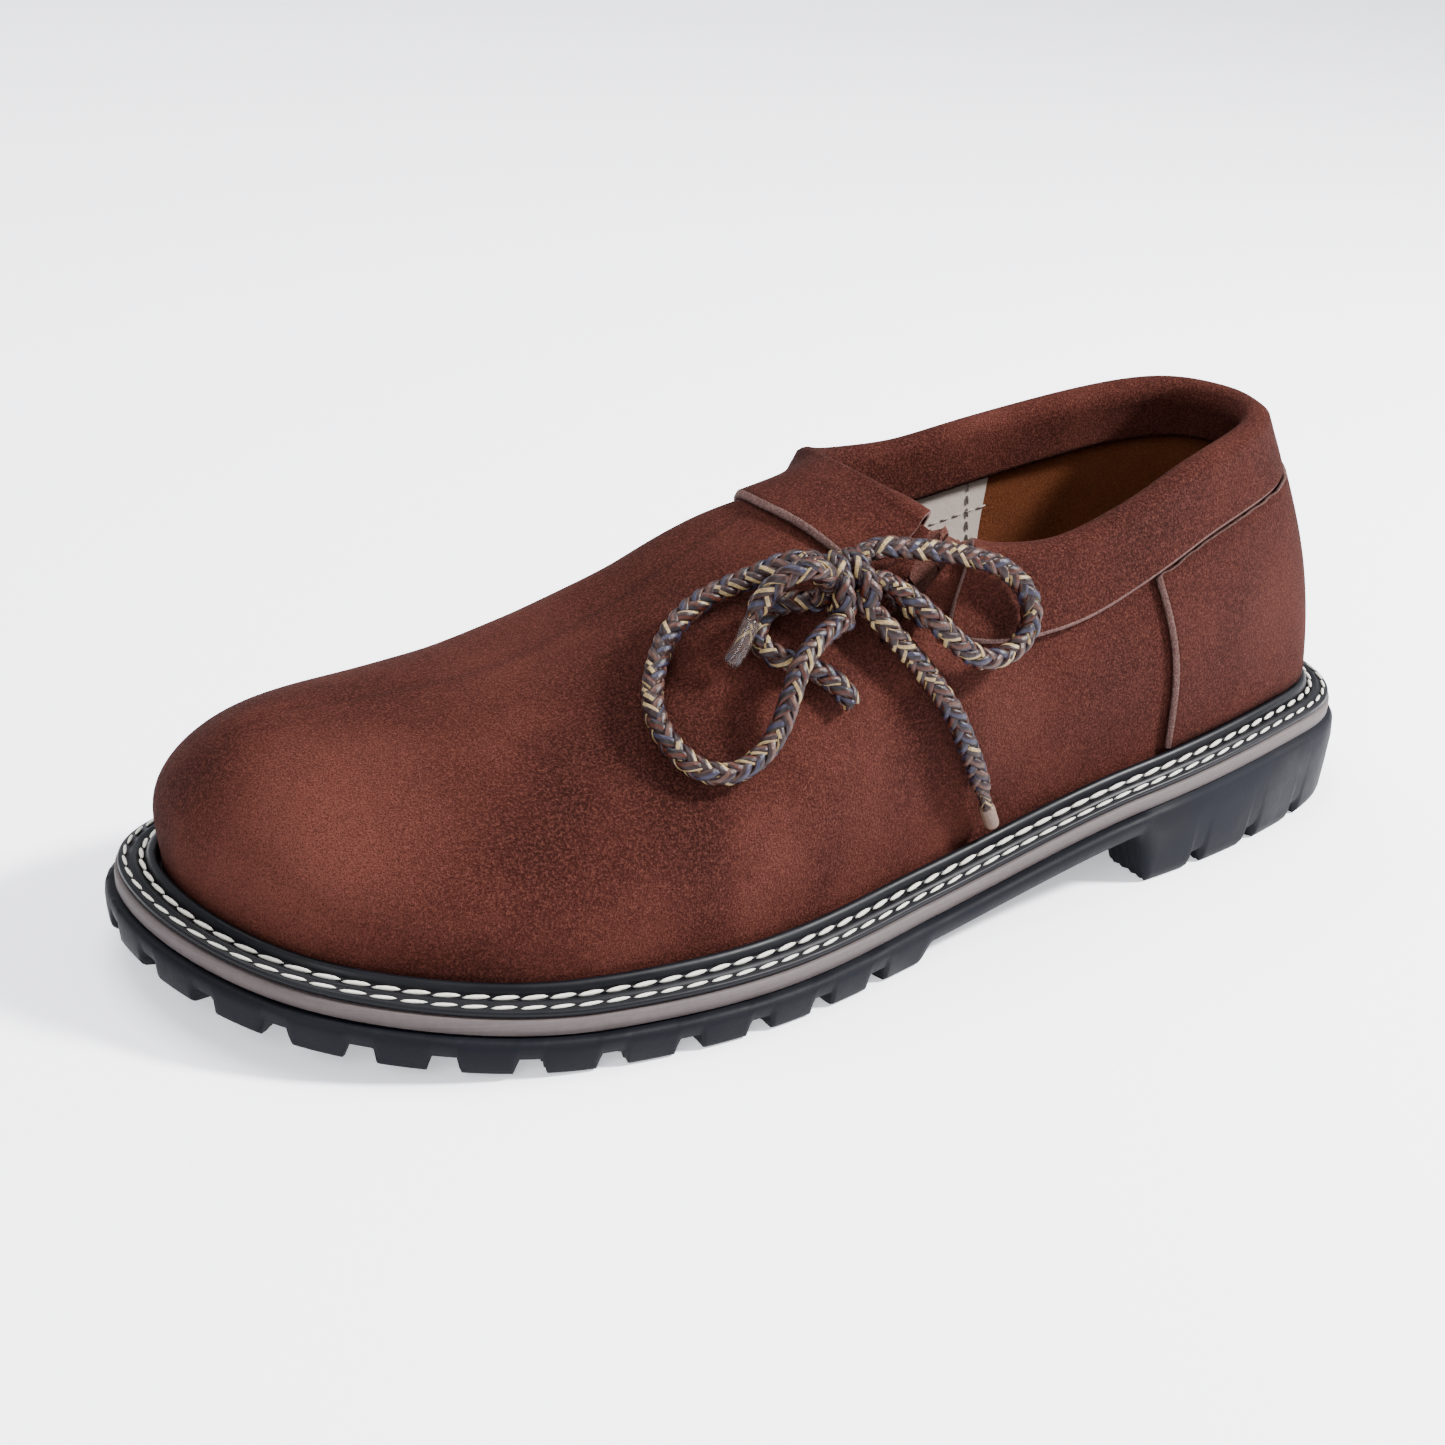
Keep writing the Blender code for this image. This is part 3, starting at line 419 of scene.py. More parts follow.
def tread_height(flat, inset):
    """Height of the underside at flat points that lie inset from the edge."""
    x = flat[:, 0]
    soft = 0.0004
    gap = np.zeros(len(flat))
    for origin, way, reach, width in lug_gaps():
        far = (flat - origin) @ way
        aside = abs((flat - origin) @ np.array([-way[1], way[0]]))
        inside = step(far, -soft, soft) * step(reach - far, -soft, soft) * step(width / 2 - aside, -soft, soft)
        gap = np.maximum(gap, inside)
    channel = step(inset, SIDE_LUG_REACH - soft, SIDE_LUG_REACH + soft)
    channel = channel * step(SIDE_LUG_REACH + TREAD_CHANNEL - inset, -soft, soft)
    tread = toe_rise(x) + TREAD_DEPTH * np.maximum(gap, channel)
    arch = seat_height(x) - ARCH_LAYER
    front = FOREFOOT_TREAD_START - 0.002
    breast = step(x, HEEL_BREAST, HEEL_BREAST + HEEL_BREAST_SLANT) * step(front - x, 0.0, 0.004)
    return tread + (arch - tread) * breast


def make_outsole(finish):
    """Underside with its lugs, rounded edge and smooth side."""
    per_side = 620
    count = 2 * per_side
    levels = []
    for inset in (0.0185, 0.0178, 0.0172, 0.0160, 0.0145, 0.0134, 0.0128, 0.0115, 0.0090, 0.0060, 0.0035, 0.0018):
        flat = ring(inset, per_side)
        levels.append(np.column_stack([flat, tread_height(flat, np.full(count, inset))]))
    foot = ring(SOLE_FLARE, per_side)
    low = tread_height(foot, np.full(count, SOLE_FLARE))
    top = seat_height(foot[:, 0]) - CLEARANCE
    for share, inset in ((0.06, 0.0010), (0.14, 0.0006), (0.45, 0.0002), (0.70, 0.0), (0.93, 0.0003), (1.0, SOLE_FLARE)):
        flat = ring(inset, per_side)
        levels.append(np.column_stack([flat, low + (top - low) * share]))
    points = [np.vstack(levels)]
    faces = walls(len(levels), count, False) + lid((len(levels) - 1) * count, count)
    columns = 48
    inner = levels[0][:, :2]
    first = len(levels) * count
    spread = np.linspace(0, 1, columns + 1)[:, None]
    rows = []
    for k in range(1, per_side):
        flat = inner[k] + (inner[count - k] - inner[k]) * spread
        rows.append(np.column_stack([flat, tread_height(flat, np.full(columns + 1, 0.0185))]))
    points.append(np.vstack(rows))
    span = columns + 1
    for k in range(per_side - 2):
        for c in range(columns):
            a = first + k * span + c
            faces.append((a, a + 1, a + span + 1, a + span))
    ends = ((0, first), (per_side, first + (per_side - 2) * span))
    for tip, start in ends:
        for c in range(columns):
            faces.append((tip, start + c, start + c + 1))
    return piece("rubber_sole", np.vstack(points), faces, finish, "outsole", merge=0.00003)


rubber = Wires("black_rubber")
place = rubber.node("ShaderNodeTexCoord", out=3)
grain = rubber.noise(place, 900.0, 2.0)
smear = rubber.noise(place, 35.0, 4.0, 0.6)
rubber.finish(
    Base_Color=rubber.mix(rubber.range(smear, 0.45, 0.75), RUBBER, (0.0034, 0.0040, 0.0072)),
    Roughness=rubber.range(smear, 0.3, 0.7, 0.55, 0.75),
    Normal=rubber.bump(grain, 0.25, 0.0002),
    Specular_IOR_Level=0.10)
make_outsole(rubber.material)

# Midsole
# Taupe micro-rubber layer, buffed flush round the shoe, with the fine lines of the buffing wheel.
MIDSOLE_INSET = 0.0030
MIDSOLE_THICKNESS = 0.0033
TAUPE = (0.185, 0.135, 0.110)


def welt_floor(x):
    """Height of the upper face of the midsole."""
    return seat_height(x) + MIDSOLE_THICKNESS


def make_midsole(finish):
    """Flat layer with slightly rounded edges."""
    rings = []
    for inset, share in ((0.0006, 0.0), (0.0001, 0.08), (0.0, 0.5), (0.0001, 0.92), (0.0006, 1.0)):
        flat = ring(MIDSOLE_INSET - 0.0012 + inset, 300)
        rings.append(np.column_stack([flat, seat_height(flat[:, 0]) + MIDSOLE_THICKNESS * share]))
    faces = walls(len(rings), 600, False) + lid((len(rings) - 1) * 600, 600)
    faces += [face[::-1] for face in lid(0, 600)]
    return piece("taupe_midsole", np.vstack(rings), faces, finish, "midsole")


taupe = Wires("taupe_rubber")
place = taupe.node("ShaderNodeTexCoord", out=3)
stretched = taupe.node("ShaderNodeMapping", {"Vector": place, "Scale": (12.0, 12.0, 900.0)})
lines = taupe.noise(stretched, 4.0, 3.0)
speck = taupe.noise(place, 700.0, 2.0)
taupe.finish(
    Base_Color=taupe.mix(lines * 0.6 + speck * 0.4, (0.022, 0.015, 0.0145), (0.070, 0.052, 0.051)),
    Roughness=0.72,
    Normal=taupe.bump(lines, 0.5, 0.0002))
make_midsole(taupe.material)

# Welt
# Black storm welt sewn round the upper: a flat edge, a thin ridge and a rounded bead that closes on the suede.
# Two rows of white waxed thread hold it, a thick one beside the bead and a finer one near the edge.
WELT_INSET = 0.0024
WELT_THICKNESS = 0.0016
WELT_RIDGE = 0.0008
WELT_BEAD_HEIGHT = 0.0042
WELT_BEAD_WIDTH = 0.0026
FEATHER_INSET = 0.0108
WELT_BLACK = (0.0016, 0.0016, 0.0026)
THREAD = (0.66, 0.65, 0.58)
STITCH_ROWS = (
    # name, inset, lift, pitch, length, thickness, slant
    ("inner_stitches", 0.0069, 0.0006, 0.0055, 0.0053, 0.00095, 0.10),
    ("outer_stitches", 0.0037, 0.0003, 0.0055, 0.0050, 0.00070, 0.08),
)


def make_welt(finish):
    """Ring whose section is the edge, the ridge, the groove and the bead."""
    top = WELT_THICKNESS
    inner = FEATHER_INSET - 2 * CLEARANCE
    bead = inner - WELT_BEAD_WIDTH
    profile = [(WELT_INSET + 0.0003, CLEARANCE), (WELT_INSET, CLEARANCE + 0.0003), (WELT_INSET, top - 0.0003),
               (WELT_INSET + 0.0003, top), (WELT_INSET + 0.0020, top + 0.0001), (WELT_INSET + 0.0024, top + 0.0004),
               (WELT_INSET + 0.0028, top + WELT_RIDGE), (WELT_INSET + 0.0033, top + WELT_RIDGE),
               (WELT_INSET + 0.0037, top + 0.0002), (bead - 0.0003, top + 0.0002)]
    for angle in np.linspace(180, 0, 13):
        a = math.radians(angle)
        profile.append((bead + WELT_BEAD_WIDTH / 2 + math.cos(a) * WELT_BEAD_WIDTH / 2,
                        top + 0.0004 + math.sin(a) * (WELT_BEAD_HEIGHT - top - 0.0004)))
    profile.append((inner, CLEARANCE))
    rings = []
    for inset, height in profile:
        flat = ring(inset, 300)
        rings.append(np.column_stack([flat, welt_floor(flat[:, 0]) + height]))
    return piece("storm_welt", np.vstack(rings), walls(len(rings), 600, True), finish, "welt")


def stitch_tree(finish):
    """Geometry Nodes tree that lays even stitches along a closed line."""
    tree = bpy.data.node_groups.new("stitch_row", "GeometryNodeTree")
    tree.interface.new_socket("Geometry", in_out="INPUT", socket_type="NodeSocketGeometry")
    for name in ("Pitch", "Length", "Thickness", "Slant"):
        tree.interface.new_socket(name, in_out="INPUT", socket_type="NodeSocketFloat")
    tree.interface.new_socket("Geometry", in_out="OUTPUT", socket_type="NodeSocketGeometry")
    nodes = tree.nodes
    link = tree.links.new
    given = nodes.new("NodeGroupInput")
    result = nodes.new("NodeGroupOutput")
    line = nodes.new("GeometryNodeMeshToCurve")
    even = nodes.new("GeometryNodeResampleCurve")
    even.mode = "LENGTH"
    thread = nodes.new("GeometryNodeMeshUVSphere")
    thread.inputs["Segments"].default_value = 8
    thread.inputs["Rings"].default_value = 6
    thread.inputs["Radius"].default_value = 0.5
    tangent = nodes.new("GeometryNodeInputTangent")
    align = nodes.new("FunctionNodeAlignRotationToVector")
    align.axis = "X"
    slant = nodes.new("ShaderNodeCombineXYZ")
    turn = nodes.new("FunctionNodeRotateRotation")
    turn.rotation_space = "LOCAL"
    size = nodes.new("ShaderNodeCombineXYZ")
    lay = nodes.new("GeometryNodeInstanceOnPoints")
    real = nodes.new("GeometryNodeRealizeInstances")
    paint = nodes.new("GeometryNodeSetMaterial")
    paint.inputs["Material"].default_value = finish
    link(given.outputs["Geometry"], line.inputs["Mesh"])
    link(line.outputs["Curve"], even.inputs["Curve"])
    link(given.outputs["Pitch"], even.inputs["Length"])
    link(even.outputs["Curve"], lay.inputs["Points"])
    link(thread.outputs["Mesh"], lay.inputs["Instance"])
    link(tangent.outputs["Tangent"], align.inputs["Vector"])
    link(given.outputs["Slant"], slant.inputs["Z"])
    link(align.outputs["Rotation"], turn.inputs["Rotation"])
    link(slant.outputs["Vector"], turn.inputs["Rotate By"])
    link(turn.outputs["Rotation"], lay.inputs["Rotation"])
    link(given.outputs["Length"], size.inputs["X"])
    link(given.outputs["Thickness"], size.inputs["Y"])
    link(given.outputs["Thickness"], size.inputs["Z"])
    link(size.outputs["Vector"], lay.inputs["Scale"])
    link(lay.outputs["Instances"], real.inputs["Geometry"])
    link(real.outputs["Geometry"], paint.inputs["Geometry"])
    link(paint.outputs["Geometry"], result.inputs["Geometry"])
    return tree


def lay_stitches(name, tree, line, closed, sizes):
    """Plain mesh of stitches along a line of points in the frame."""
    edges = [(k, k + 1) for k in range(len(line) - 1)]
    if closed:
        edges.append((len(line) - 1, 0))
    mesh = bpy.data.meshes.new(name + "_line")
    mesh.from_pydata([tuple(p) for p in line], edges, [])
    guide = bpy.data.objects.new(name + "_line", mesh)
    bpy.context.scene.collection.objects.link(guide)
    sew = guide.modifiers.new("sew", "NODES")
    sew.node_group = tree
    names = {item.name: item.identifier for item in tree.interface.items_tree if item.in_out == "INPUT"}
    for key, value in sizes.items():
        sew[names[key]] = value
    graph = bpy.context.evaluated_depsgraph_get()
    sewn = bpy.data.meshes.new_from_object(guide.evaluated_get(graph), depsgraph=graph)
    bpy.data.objects.remove(guide, do_unlink=True)
    sewn.name = name
    made = bpy.data.objects.new(name, sewn)
    bpy.context.scene.collection.objects.link(made)
    sewn.shade_smooth()
    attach(made, "root")
    return made


black = Wires("black_welt")
place = black.node("ShaderNodeTexCoord", out=3)
soft = black.noise(place, 60.0, 3.0)
black.finish(
    Base_Color=black.mix(soft, WELT_BLACK, (0.0036, 0.0036, 0.0052)),
    Roughness=black.range(soft, 0.3, 0.7, 0.36, 0.52),
    Normal=black.bump(black.noise(place, 600.0, 2.0), 0.12, 0.0002),
    Specular_IOR_Level=0.12)
make_welt(black.material)
waxed = Wires("white_thread")
place = waxed.node("ShaderNodeTexCoord", out=3)
twist = waxed.noise(place, 1500.0, 2.0)
waxed.finish(
    Base_Color=waxed.mix(twist, (0.42, 0.40, 0.34), THREAD),
    Roughness=0.6,
    Normal=waxed.bump(twist, 0.5, 0.0002))
stitching = stitch_tree(waxed.material)
for name, inset, lift, pitch, length, thickness, slant in STITCH_ROWS:
    flat = ring(inset, 300)
    line = np.column_stack([flat, welt_floor(flat[:, 0]) + WELT_THICKNESS + lift]) - MIDDLE
    sizes = {"Pitch": pitch, "Length": length, "Thickness": thickness, "Slant": slant}
    lay_stitches(name, stitching, line, True, sizes)

# Upper
# One piece of reddish-brown suede, nap side out, pulled over the last and sewn to the welt.
# It is soft: a shallow fold runs from the foot of the slit to the welt. Its colour has painted highlights, partly
# brushed nap, on the toe, vamp top and outer side, and painted shadows under the bow.
INSTEP_HEIGHT = 0.088
UPPER_WALL = 0.0020
SLIT_WIDTH = 0.0070
SLIT_DEPTH = 0.0270
SLIT_FOOT = 0.485
CREST_EASE = 0.60
CREST_PASSES = 45
SUEDE_DARK = (0.0085, 0.0018, 0.0013)
SUEDE = (0.0310, 0.0072, 0.0049)
SUEDE_LIGHT = (0.1250, 0.0400, 0.0290)
CREST = (
    # along, across, height
    (0.495, -0.010, 0.985),
    (0.556, -0.020, 0.930),
    (0.616, -0.030, 0.818),
    (0.677, -0.040, 0.706),
    (0.737, -0.055, 0.628),
    (0.798, -0.065, 0.594),
    (0.859, -0.075, 0.584),
    (0.884, -0.075, 0.576),
)
VAMP = (
    # foot, crest, roundness, bulge
    (0.540, 0.000, 2.00, 0.030),
    (0.646, 0.260, 2.05, 0.030),
    (0.748, 0.520, 2.20, 0.030),
    (0.848, 0.780, 2.40, 0.028),
    (0.929, 0.940, 2.55, 0.026),
    (0.964, 1.000, 2.60, 0.026),
)
QUARTER_OUTER = (
    # foot, along, across, height, wall, bulge
    (0.036, 0.118, -0.008, 1.035, 1.00, 0.006),
    (0.046, 0.127, 0.088, 1.035, 1.00, 0.006),
    (0.074, 0.154, 0.152, 1.025, 1.00, 0.008),
    (0.110, 0.190, 0.186, 1.005, 1.00, 0.010),
    (0.192, 0.240, 0.216, 0.970, 1.00, 0.018),
    (0.253, 0.303, 0.252, 0.908, 1.00, 0.026),
    (0.354, 0.384, 0.272, 0.855, 0.95, 0.032),
    (0.445, 0.445, 0.258, 0.872, 0.75, 0.032),
    (0.500, 0.480, 0.160, 0.955, 0.35, 0.030),
    (0.540, 0.495, -0.010, 0.985, 0.00, 0.030),
)
QUARTER_INNER = (
    # foot, along, across, height, wall, bulge
    (0.036, 0.118, -0.008, 1.035, 1.00, 0.006),
    (0.046, 0.127, -0.104, 1.032, 1.00, 0.008),
    (0.074, 0.154, -0.170, 1.018, 1.00, 0.010),
    (0.110, 0.190, -0.204, 0.995, 1.00, 0.012),
    (0.192, 0.240, -0.232, 0.960, 1.00, 0.020),
    (0.253, 0.303, -0.250, 0.920, 1.00, 0.026),
    (0.354, 0.384, -0.255, 0.880, 0.95, 0.030),
    (0.445, 0.445, -0.235, 0.895, 0.75, 0.030),
    (0.500, 0.480, -0.145, 0.955, 0.35, 0.030),
    (0.540, 0.495, -0.010, 0.985, 0.00, 0.030),
)
FOLDS = (
    # points in the frame, half width, depth
    (((0.015, 0.034, 0.061), (0.012, 0.036, 0.056), (0.008, 0.039, 0.048), (0.003, 0.039, 0.038),
      (-0.003, 0.038, 0.029)), 0.0045, 0.0011),
    (((0.022, 0.031, 0.062), (0.026, 0.037, 0.052), (0.030, 0.043, 0.040)), 0.0085, -0.0007),
    (((0.052, 0.020, 0.058), (0.048, 0.034, 0.050), (0.046, 0.043, 0.038)), 0.0090, 0.0006),
    (((0.040, -0.020, 0.062), (0.038, -0.034, 0.050), (0.036, -0.040, 0.036)), 0.0080, 0.0007),
    (((0.075, -0.020, 0.052), (0.074, 0.010, 0.053), (0.072, 0.028, 0.046)), 0.0100, 0.0005),
    (((-0.030, 0.037, 0.062), (-0.034, 0.038, 0.050), (-0.033, 0.039, 0.038)), 0.0070, 0.0006),
    (((-0.040, -0.034, 0.060), (-0.036, -0.036, 0.045), (-0.028, -0.038, 0.034)), 0.0080, 0.0008),
)


# Lighter spots in the suede's colour: painted highlights on the lit toe, vamp top and outer side, partly brushed nap.
HIGHLIGHT_AND_BRUSHED_SPOTS = (
    # middle in the frame, radius, strength
    ((0.118, 0.016, 0.036), 0.032, 0.40),
    ((0.070, -0.008, 0.058), 0.026, 0.22),
    ((-0.115, 0.034, 0.055), 0.030, 0.22),
    ((-0.020, 0.044, 0.045), 0.026, 0.22),
)
# Darker spots in the suede's colour: painted shadows under the front loop of the bow and under the hanging lace end.
SHADED = (
    # middle in the frame, radius, strength
    ((0.062, 0.036, 0.044), 0.030, 0.55),
    ((0.000, 0.040, 0.040), 0.022, 0.35),
)


def rib_shape(side, foot):
    """Top of one rib of the upper, its roundness, its share of upright wall and its bulge."""
    if foot < VAMP[0][0]:
        table = QUARTER_OUTER if side > 0 else QUARTER_INNER
        along, across, height = (table_value(table, column, foot) for column in (1, 2, 3))
        wall, bulge = table_value(table, 4, foot), table_value(table, 5, foot)
        roundness = VAMP[0][2]
    else:
        along = CREST[0][0] + table_value(VAMP, 1, foot) * (CREST[-1][0] - CREST[0][0])
        across, height = table_value(CREST, 1, along), table_value(CREST, 2, along)
        roundness, wall, bulge = table_value(VAMP, 2, foot), 0.0, table_value(VAMP, 3, foot)
    return np.array([along * SHOE_LENGTH, across * BALL_WIDTH, height * INSTEP_HEIGHT]), roundness, wall, bulge


def upper_ribs(per_side, rows):
    """Grid of points of the upper's outer face: ribs round the foot edge, rows from there to the top."""
    feet = ring(FEATHER_INSET, per_side)
    ways = outward(feet)
    count = 2 * per_side
    grid = np.zeros((count, rows + 1, 3))
    w = np.linspace(0, 1, rows + 1)
    for k in range(count):
        side = -1 if k < per_side else 1
        share = (feet[k, 0] + feet[-k % count, 0]) / 2 / SHOE_LENGTH
        top, roundness, wall, bulge = rib_shape(side, share)
        low = welt_floor(feet[k, 0]) + CLEARANCE
        power = 2.0 / roundness
        up = (1 - wall) * np.sin(w * math.pi / 2)**power + wall * w
        over = (1 - wall) * (1 - np.cos(w * math.pi / 2).clip(0)**power) + wall * w**1.6
        out = bulge * BALL_WIDTH * np.sin(math.pi * up)**2
        grid[k, :, :2] = feet[k] + np.outer(over, top[:2] - feet[k]) + np.outer(out, ways[k])
        grid[k, :, 2] = low + (top[2] - low) * up
    return grid


def grid_normals(grid, closed=False):
    """Outward unit normals of a grid whose first axis runs anticlockwise and whose second runs up."""
    if closed:
        along = np.roll(grid, -1, 0) - np.roll(grid, 1, 0)
    else:
        along = np.gradient(grid, axis=0)
    up = np.gradient(grid, axis=1)
    normals = np.cross(along, up)
    return normals / np.maximum(np.linalg.norm(normals, axis=2), 1e-12)[:, :, None]


def crest_normals(grid):
    """Normals of the closed grid of ribs, made one where ribs of both sides meet on the crest."""
    normals = grid_normals(grid, True)
    count = len(grid)
    share = (grid[:, 0, 0] + grid[-np.arange(count) % count, 0, 0]) / 2 / SHOE_LENGTH
    crest = share >= VAMP[0][0]
    tops = normals[:, -2].copy()
    both = tops + tops[-np.arange(count) % count]
    both /= np.linalg.norm(both, axis=1)[:, None]
    tip = share >= VAMP[-1][0]
    both[tip] = tops[tip].mean(0) / np.linalg.norm(tops[tip].mean(0))
    normals[crest, -1] = both[crest]
    return normals


def eased_crest(grid):
    """Ribs whose two sides run into each other over the crest of the vamp without a line."""
    count = len(grid)
    rows = grid.shape[1] - 1
    share = (grid[:, 0, 0] + grid[-np.arange(count) % count, 0, 0]) / 2 / SHOE_LENGTH
    near = step(1 - abs(np.arange(2 * rows + 1) - rows) / (CREST_EASE * rows), 0.0, 1.0)
    eased = grid.copy()
    for k in range(1, count // 2):
        if not VAMP[0][0] <= share[k] < VAMP[-1][0]:
            continue
        curve = np.vstack([grid[k], grid[count - k, -2::-1]])
        soft = curve.copy()
        for _ in range(CREST_PASSES):
            soft[1:-1] = (soft[:-2] + 2 * soft[1:-1] + soft[2:]) / 4
        amount = near * step(share[k], VAMP[0][0], VAMP[0][0] + 0.04) * step(VAMP[-1][0] - share[k], 0.0, 0.06)
        curve += (soft - curve) * amount[:, None]
        eased[k] = curve[:rows + 1]
        eased[count - k] = curve[rows:][::-1]
    return eased


def line_distance(points, line):
    """Least distance from each point to a line of points, and how far along it lies from 0 to 1."""
    best = np.full(len(points), 9.0)
    share = np.zeros(len(points))
    for i in range(len(line) - 1):
        a = np.array(line[i])
        ab = np.array(line[i + 1]) - a
        t = np.clip((points - a) @ ab / (ab @ ab), 0, 1)
        far = np.linalg.norm(points - a - t[:, None] * ab, axis=1)
        near = far < best
        best = np.where(near, far, best)
        share = np.where(near, (i + t) / (len(line) - 1), share)
    return best, share


def folded(points, normals):
    """Points of the upper moved in or out by its soft folds."""
    flat = points.reshape(-1, 3) - MIDDLE
    push = np.zeros(len(flat))
    for line, width, depth in FOLDS:
        far, share = line_distance(flat, line)
        fade = 0.35 + 0.65 * np.sin(math.pi * (0.1 + 0.8 * share))
        push -= depth * fade * np.exp(-(far / width)**2)
    return points + normals * push.reshape(points.shape[:-1])[..., None]


def suede(name, dark, middle, light, nap=1.0):
    """Brushed nap: soft lighter and darker patches at random, painted highlights and painted shadows at fixed spots,
    over a fine fibrous grain.
    """
    skin = Wires(name)
    at = skin.node("ShaderNodeTexCoord", out=3)
    patches = skin.noise(at, 14.0, 3.0, 0.50, 0.3)
    clouds = skin.noise(at, 48.0, 4.0, 0.55, 0.2)
    fibre = skin.noise(at, 1900.0, 3.0, 0.7)
    speck = skin.noise(at, 4200.0, 2.0, 0.6)
    tone = skin.mix(skin.range(patches * 0.60 + clouds * 0.40, 0.24, 0.62), dark, middle)
    tone = skin.mix(skin.range(clouds * 0.4 + patches * 0.6, 0.46, 0.76, 0.0, 0.45), tone, light)
    # Fixed spots: painted highlights, partly brushed nap, lighten some places and painted shadows darken others.
    for spots, colour in ((HIGHLIGHT_AND_BRUSHED_SPOTS, light), (SHADED, dark)):
        for middle_spot, radius, strength in spots:
            far = skin.node("ShaderNodeVectorMath", {0: at, 1: middle_spot}, out=1, operation="DISTANCE")
            tone = skin.mix(skin.range(far + clouds * 0.02, radius + 0.01, 0.01, 0.0, strength), tone, colour)
    tone = skin.mix(skin.range(fibre, 0.38, 0.74, 0.0, 0.55), tone, light)
    tone = skin.mix(skin.range(speck, 0.36, 0.56, 0.70, 0.0), tone, dark)
    low = skin.bump(clouds, 0.25 * nap, 0.0015)
    skin.finish(
        Base_Color=tone,
        Roughness=0.95,
        Normal=skin.bump(fibre * 0.65 + speck * 0.35, 1.0 * nap, 0.0009, low),
        Specular_IOR_Level=0.05)
    return skin.material


def skin_of(grid):
    """Search tree over a closed grid."""
    levels = [grid[:, row] for row in range(grid.shape[1])]
    return BVHTree.FromPolygons([Vector(p) for p in np.vstack(levels)], walls(len(levels), len(grid), False))


def collar_edge(grid):
    """Collar edge from the middle of the slit, round the heel and the inner side, over the instep and back."""
    count = len(grid)
    share = (grid[:, 0, 0] + grid[-np.arange(count) % count, 0, 0]) / 2 / SHOE_LENGTH
    outer = [k for k in range(count // 2 + 1, count) if share[k] < VAMP[0][0]]
    inner = [k for k in range(count // 2) if share[k] < VAMP[0][0]]
    crest = np.array([CREST[0][0] * SHOE_LENGTH, CREST[0][1] * BALL_WIDTH, CREST[0][2] * INSTEP_HEIGHT])
    line = [grid[k, -1] for k in outer + inner] + [crest]
    slit = sum(share[k] > SLIT_FOOT for k in outer)
    line = np.array(line[slit:] + line[:slit + 1])
    travel = np.concatenate([[0.0], np.cumsum(np.linalg.norm(np.diff(line, axis=0), axis=1))])
    return line, travel


def edge_point(edge, at):
    """Point of the collar edge at a travel from the slit, which may be negative."""
    line, travel = edge
    at = at % travel[-1]
    return Vector([float(np.interp(at, travel, line[:, axis])) for axis in range(3)])


def below_collar(skin, edge, stations, distances):
    """Points on the upper straight below stations of the collar edge, and its outward normals there."""
    points = np.zeros((len(stations), len(distances), 3))
    for i, at in enumerate(stations):
        spot = edge_point(edge, at)
        along = (edge_point(edge, at + 0.006) - edge_point(edge, at - 0.006)).normalized()
        normal = skin.find_nearest(spot)[1]
        gone = 0.0
        for k, distance in enumerate(distances):
            while gone < distance - 1e-9:
                stride = min(0.001, distance - gone)
                down = along.cross(normal).normalized()
                spot, normal = skin.find_nearest(spot + down * stride)[:2]
                gone += stride
            points[i, k] = spot
    along = np.gradient(points, axis=0)
    down = np.gradient(points, axis=1)
    normals = np.cross(down, along)
    normals /= np.linalg.norm(normals, axis=2)[:, :, None]
    return points, normals


COLLAR_SKIN_RIBS = upper_ribs(44, 9)
SKIN = skin_of(COLLAR_SKIN_RIBS)
EDGE = collar_edge(COLLAR_SKIN_RIBS)


def slit_wedge():
    """Wedge that opens the slit, wide at the collar and closing below."""
    depths = np.linspace(0.0, SLIT_DEPTH, 6)
    points, normals = below_collar(SKIN, EDGE, (-0.002, 0.0, 0.002), depths)
    side = points[2] - points[0]
    side /= np.linalg.norm(side, axis=1)[:, None]
    middle = points[1]
    middle[0] += (middle[0] - middle[1]) * 0.8
    half = np.linspace(SLIT_WIDTH, SLIT_WIDTH * 0.15, 6)[:, None] / 2
    out = normals[1] * 0.003
    into = normals[1] * (UPPER_WALL + 0.003)
    rings = (middle + side * half + out, middle - side * half + out,
             middle - side * half - into, middle + side * half - into)
    points = np.stack(rings, 1).reshape(-1, 3)
    return piece("slit_wedge", points, walls(6, 4, False) + [(3, 2, 1, 0), (20, 21, 22, 23)], bpy.data.materials[0])


def make_upper(finish):
    """Suede shell with its thickness, soft folds and slit."""
    per_side, rows = 190, 46
    grid = eased_crest(upper_ribs(per_side, rows))
    normals = crest_normals(grid)
    grid = folded(grid, normals)
    inside = grid - normals * UPPER_WALL
    levels = [grid[:, row] for row in range(rows + 1)] + [inside[:, row] for row in range(rows, -1, -1)]
    shell = piece("suede_upper", np.vstack(levels), walls(len(levels), 2 * per_side, True), finish, merge=0.00002)
    wedge = slit_wedge()
    cut = shell.modifiers.new("slit", "BOOLEAN")
    cut.operation = "DIFFERENCE"
    cut.solver = "EXACT"
    cut.object = wedge
    graph = bpy.context.evaluated_depsgraph_get()
    opened = bpy.data.meshes.new_from_object(shell.evaluated_get(graph), depsgraph=graph)
    shell.modifiers.clear()
    shell.data = opened
    bpy.data.objects.remove(wedge, do_unlink=True)
    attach(shell, "root")
    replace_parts(shell, "upper")
    return shell


SUEDE_FINISH = suede("reddish_brown_suede", SUEDE_DARK, SUEDE, SUEDE_LIGHT)
make_upper(SUEDE_FINISH)

# Insole
# Tan leather board inside the shoe, seen only from above through the collar.
INSOLE_THICKNESS = 0.0025
TAN = (0.200, 0.085, 0.035)


